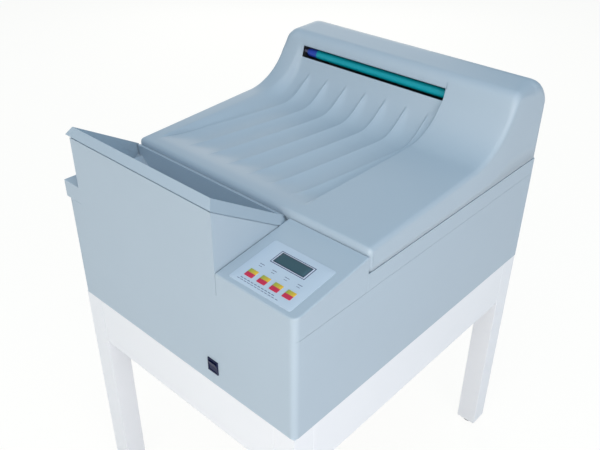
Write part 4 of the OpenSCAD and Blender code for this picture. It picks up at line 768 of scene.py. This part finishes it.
# display: dark outline, pale border, dark rim and the window itself, each a little higher
display = {
    "x": (0.0558, 0.1225), "y": (0.0765, 0.1015), "foot": 0.0006, "corner": 0.0008, "edge": 0.0001,
    # how much wider on each side, how much deeper, height over the label, colour
    "layers": {
        "displayOutline": (0.0038, 0.0028, 0.00025, tone(30, 42, 92)),
        "displayBorder": (0.0024, 0.0014, 0.0004, tone(206, 216, 230)),
        "displayRim": (0.0, 0.0, 0.0005, tone(26, 38, 66)),
        "displayGlass": (-0.0017, -0.0017, 0.0006, tone(52, 84, 94)),
    },
}
(x0, x1), (y0, y1) = display["x"], display["y"]
for name, (growX, growY, rise, colour) in display["layers"].items():
    isGlass = name == "displayGlass"
    points, faces = slabPoints(x0 - growX, x1 + growX, y0 - growY, y1 + growY, display["foot"],
                               label["thick"] + rise, display["corner"], display["edge"])
    layer = makeObject(name, onConsole(points), faces)
    material = finish(name + "Finish", colour, rough=0.2 if isGlass else 0.35, drift=0.04,
                      driftScale=25.0, bump=0.02, Coat_Weight=0.5 if isGlass else 0.0)
    if isGlass:
        place(layer, "casing", "display_window", material, "lcd_window")
    else:
        place(layer, "casing", "label_film", material)

# keys: domed caps printed in two halves
keys = {
    "count": 4, "x": 0.0489, "y": 0.0352, "pitch": 0.0272, "width": 0.0174, "foot": -0.003, "top": 0.0016,
    "corner": 0.0012, "edge": 0.0005, "dome": 0.0002,
    "lower": tone(200, 38, 74), "upperLeft": tone(150, 172, 60), "upperRight": tone(232, 186, 50),
}


def printHalves(material, d):
    # the lower half in one colour, the upper half fading from its left colour to its right one
    tree = material.node_tree
    onKey = addNode(tree, "ShaderNodeUVMap", uv_map="keyPrint")
    split = addNode(tree, "ShaderNodeSeparateXYZ")
    half = addNode(tree, "ShaderNodeMath", operation="GREATER_THAN")
    half.inputs[1].default_value = 0.5
    upper = addNode(tree, "ShaderNodeMix", {"A": d["upperLeft"], "B": d["upperRight"]}, data_type="RGBA")
    both = addNode(tree, "ShaderNodeMix", {"A": d["lower"]}, data_type="RGBA")
    link = tree.links.new
    link(onKey.outputs["UV"], split.inputs[0])
    link(split.outputs["Y"], half.inputs[0])
    link(split.outputs["X"], upper.inputs["Factor"])
    link(half.outputs[0], both.inputs["Factor"])
    link(upper.outputs["Result"], both.inputs["B"])
    paintFrom(both.outputs["Result"], material)


printHalves(finishes["key_film"], keys)
for i in range(keys["count"]):
    cx, cy, w = keys["x"] + i * keys["pitch"], keys["y"], keys["width"] / 2
    points, faces = slabPoints(cx - w, cx + w, cy - w, cy + w, keys["foot"], keys["top"], keys["corner"],
                               keys["edge"], dome=keys["dome"])
    key = makeObject("key_%d_cap" % (i + 1), onConsole(points), faces)
    layer = key.data.uv_layers.new(name="keyPrint")
    loops = np.empty(len(key.data.loops), np.int32)
    key.data.loops.foreach_get("vertex_index", loops)
    uv = (points[:, :2] - [cx - w, cy - w]) / (2 * w)
    layer.data.foreach_set("uv", uv[loops].astype(np.float32).ravel())
    place(key, "key_%d" % (i + 1), "key_film", finishes["key_film"], "key_%d" % (i + 1))

# plain bars where a panel has its printed words
marks = {
    "foot": 0.0007, "top": 0.00088, "corner": 0.0003, "edge": 0.00003, "ink": tone(92, 104, 134),
    # over each key: left and right end from the key's middle, lower and upper edge
    "overKeys": ((-0.006, 0.004, 0.0605, 0.0617), (-0.004, 0.003, 0.0555, 0.0565)),
    # two rows under the keys: the first bar's ends, the row's lower and upper edge, how many bars
    "underKeys": ((0.040, 0.0455, 0.0195, 0.0209, 10), (0.036, 0.0418, 0.0155, 0.0166, 12)),
    "underPitch": 0.0075,
}
bars = [(keys["x"] + i * keys["pitch"] + left, keys["x"] + i * keys["pitch"] + right, low, high)
        for i in range(keys["count"]) for left, right, low, high in marks["overKeys"]]
bars += [(left + marks["underPitch"] * k, right + marks["underPitch"] * k, low, high)
         for left, right, low, high, count in marks["underKeys"] for k in range(count)]
barPoints, barFaces = [], []
for left, right, low, high in bars:
    points, faces = slabPoints(left, right, low, high, marks["foot"], marks["top"], marks["corner"],
                               marks["edge"], steps=2)
    barFaces += [[int(v) + len(barPoints) * len(points) for v in f] for f in faces]
    barPoints.append(points)
labelMarks = makeObject("labelMarks", onConsole(np.concatenate(barPoints)), barFaces)
place(labelMarks, "casing", "label_film", finish("labelInk", marks["ink"], rough=0.4, drift=0.1))
print("console, display, keys and marks")

# white floor: seen by the camera and by reflections it glows, otherwise it is a plain matt surface
stage = {
    "size": 14.0, "white": tone(253, 253, 251), "veil": 0.86, "glow": 1.085, "bounce": tone(225, 226, 228),
    "sky": (0.67, 0.86, 1.0, 1.0), "skyStrength": 0.39,
}
bpy.ops.mesh.primitive_plane_add(size=stage["size"])
floor = bpy.context.object
floor.name = "floor"
floorPaint = bpy.data.materials.new("floorPaint")
floorPaint.use_nodes = True
tree = floorPaint.node_tree
tree.nodes.clear()
ray = addNode(tree, "ShaderNodeLightPath")
seen = addNode(tree, "ShaderNodeMath", operation="MAXIMUM")
seenThrough = addNode(tree, "ShaderNodeMath", operation="MAXIMUM")
veil = addNode(tree, "ShaderNodeMath", operation="MULTIPLY")
veil.inputs[1].default_value = stage["veil"]
matt = addNode(tree, "ShaderNodeBsdfDiffuse", {"Color": stage["bounce"]})
glow = addNode(tree, "ShaderNodeEmission", {"Color": stage["white"], "Strength": stage["glow"]})
mix = addNode(tree, "ShaderNodeMixShader")
out = addNode(tree, "ShaderNodeOutputMaterial")
link = tree.links.new
link(ray.outputs["Is Camera Ray"], seen.inputs[0])
link(ray.outputs["Is Glossy Ray"], seen.inputs[1])
link(seen.outputs[0], seenThrough.inputs[0])
link(ray.outputs["Is Transmission Ray"], seenThrough.inputs[1])
link(seenThrough.outputs[0], veil.inputs[0])
link(veil.outputs[0], mix.inputs[0])
link(matt.outputs[0], mix.inputs[1])
link(glow.outputs[0], mix.inputs[2])
link(mix.outputs[0], out.inputs[0])
floor.data.materials.append(floorPaint)

# sky: pale blue light on the object, plain white behind it
world = bpy.data.worlds.new("studio")
bpy.context.scene.world = world
world.use_nodes = True
tree = world.node_tree
tree.nodes.clear()
ray = addNode(tree, "ShaderNodeLightPath")
soft = addNode(tree, "ShaderNodeBackground", {"Color": stage["sky"], "Strength": stage["skyStrength"]})
plain = addNode(tree, "ShaderNodeBackground", {"Color": stage["white"], "Strength": 1.0})
mix = addNode(tree, "ShaderNodeMixShader")
out = addNode(tree, "ShaderNodeOutputWorld")
link = tree.links.new
link(ray.outputs["Is Camera Ray"], mix.inputs[0])
link(soft.outputs[0], mix.inputs[1])
link(plain.outputs[0], mix.inputs[2])
link(mix.outputs[0], out.inputs[0])

# square area lamps, all turned to one point of the casing
lampTarget = np.array([0.0, 0.0, 0.75])
lamps = {
    "frontLamp": {"at": (0.9, -3.4, 1.5), "size": 2.2, "watts": 33.0, "tint": (1.0, 0.92, 0.79)},
    "rightLamp": {"at": (3.0, -1.2, 1.7), "size": 2.0, "watts": 39.0, "tint": (1.0, 0.97, 0.97)},
    "highLamp": {"at": (0.2, -1.6, 3.6), "size": 2.5, "watts": 29.2, "tint": (1.0, 0.92, 0.89)},
    "topLamp": {"at": (0.0, 0.8, 3.8), "size": 2.5, "watts": 14.5, "tint": (0.42, 0.73, 1.0)},
    "lowLamp": {"at": (2.4, -2.4, 0.35), "size": 1.4, "watts": 29.4, "tint": (1.0, 0.82, 0.73)},
    "rearLamp": {"at": (-2.6, 2.8, 1.7), "size": 2.4, "watts": 30.0, "tint": (1.0, 0.88, 0.75)},
}


def poseMatrix(right, up, back, at):
    # from an object's three axes and its place
    return Matrix([[right[k], up[k], back[k], at[k]] for k in range(3)] + [[0, 0, 0, 1]])


for name, d in lamps.items():
    light = bpy.data.lights.new(name, "AREA")
    light.energy, light.size, light.color = d["watts"], d["size"], d["tint"]
    lamp = bpy.data.objects.new(name, light)
    bpy.context.scene.collection.objects.link(lamp)
    back = np.array(d["at"]) - lampTarget
    back /= np.linalg.norm(back)
    side = np.cross([0, 0, 1], back)
    side /= np.linalg.norm(side)
    lamp.matrix_world = poseMatrix(side, np.cross(back, side), back, d["at"])

# camera: its place, the way it looks, its right hand side, and lens and sensor in millimetres
view = {
    "at": (0.8532, -0.9692, 1.4624), "forward": (-0.5672, 0.6257, -0.5356),
    "right": (0.7375, 0.6753, 0.008), "lens": 43.38, "sensor": 36.0,
}
forward = np.array(view["forward"]) / np.linalg.norm(view["forward"])
rightward = np.array(view["right"]) - forward * (np.array(view["right"]) @ forward)
rightward /= np.linalg.norm(rightward)
cameraData = bpy.data.cameras.new("camera")
cameraData.lens, cameraData.sensor_width = view["lens"], view["sensor"]
camera = bpy.data.objects.new("camera", cameraData)
bpy.context.scene.collection.objects.link(camera)
camera.matrix_world = poseMatrix(rightward, np.cross(rightward, forward), -forward, view["at"])
bpy.context.scene.camera = camera
bpy.context.scene.view_settings.view_transform = "Standard"
print("stage, light and camera")
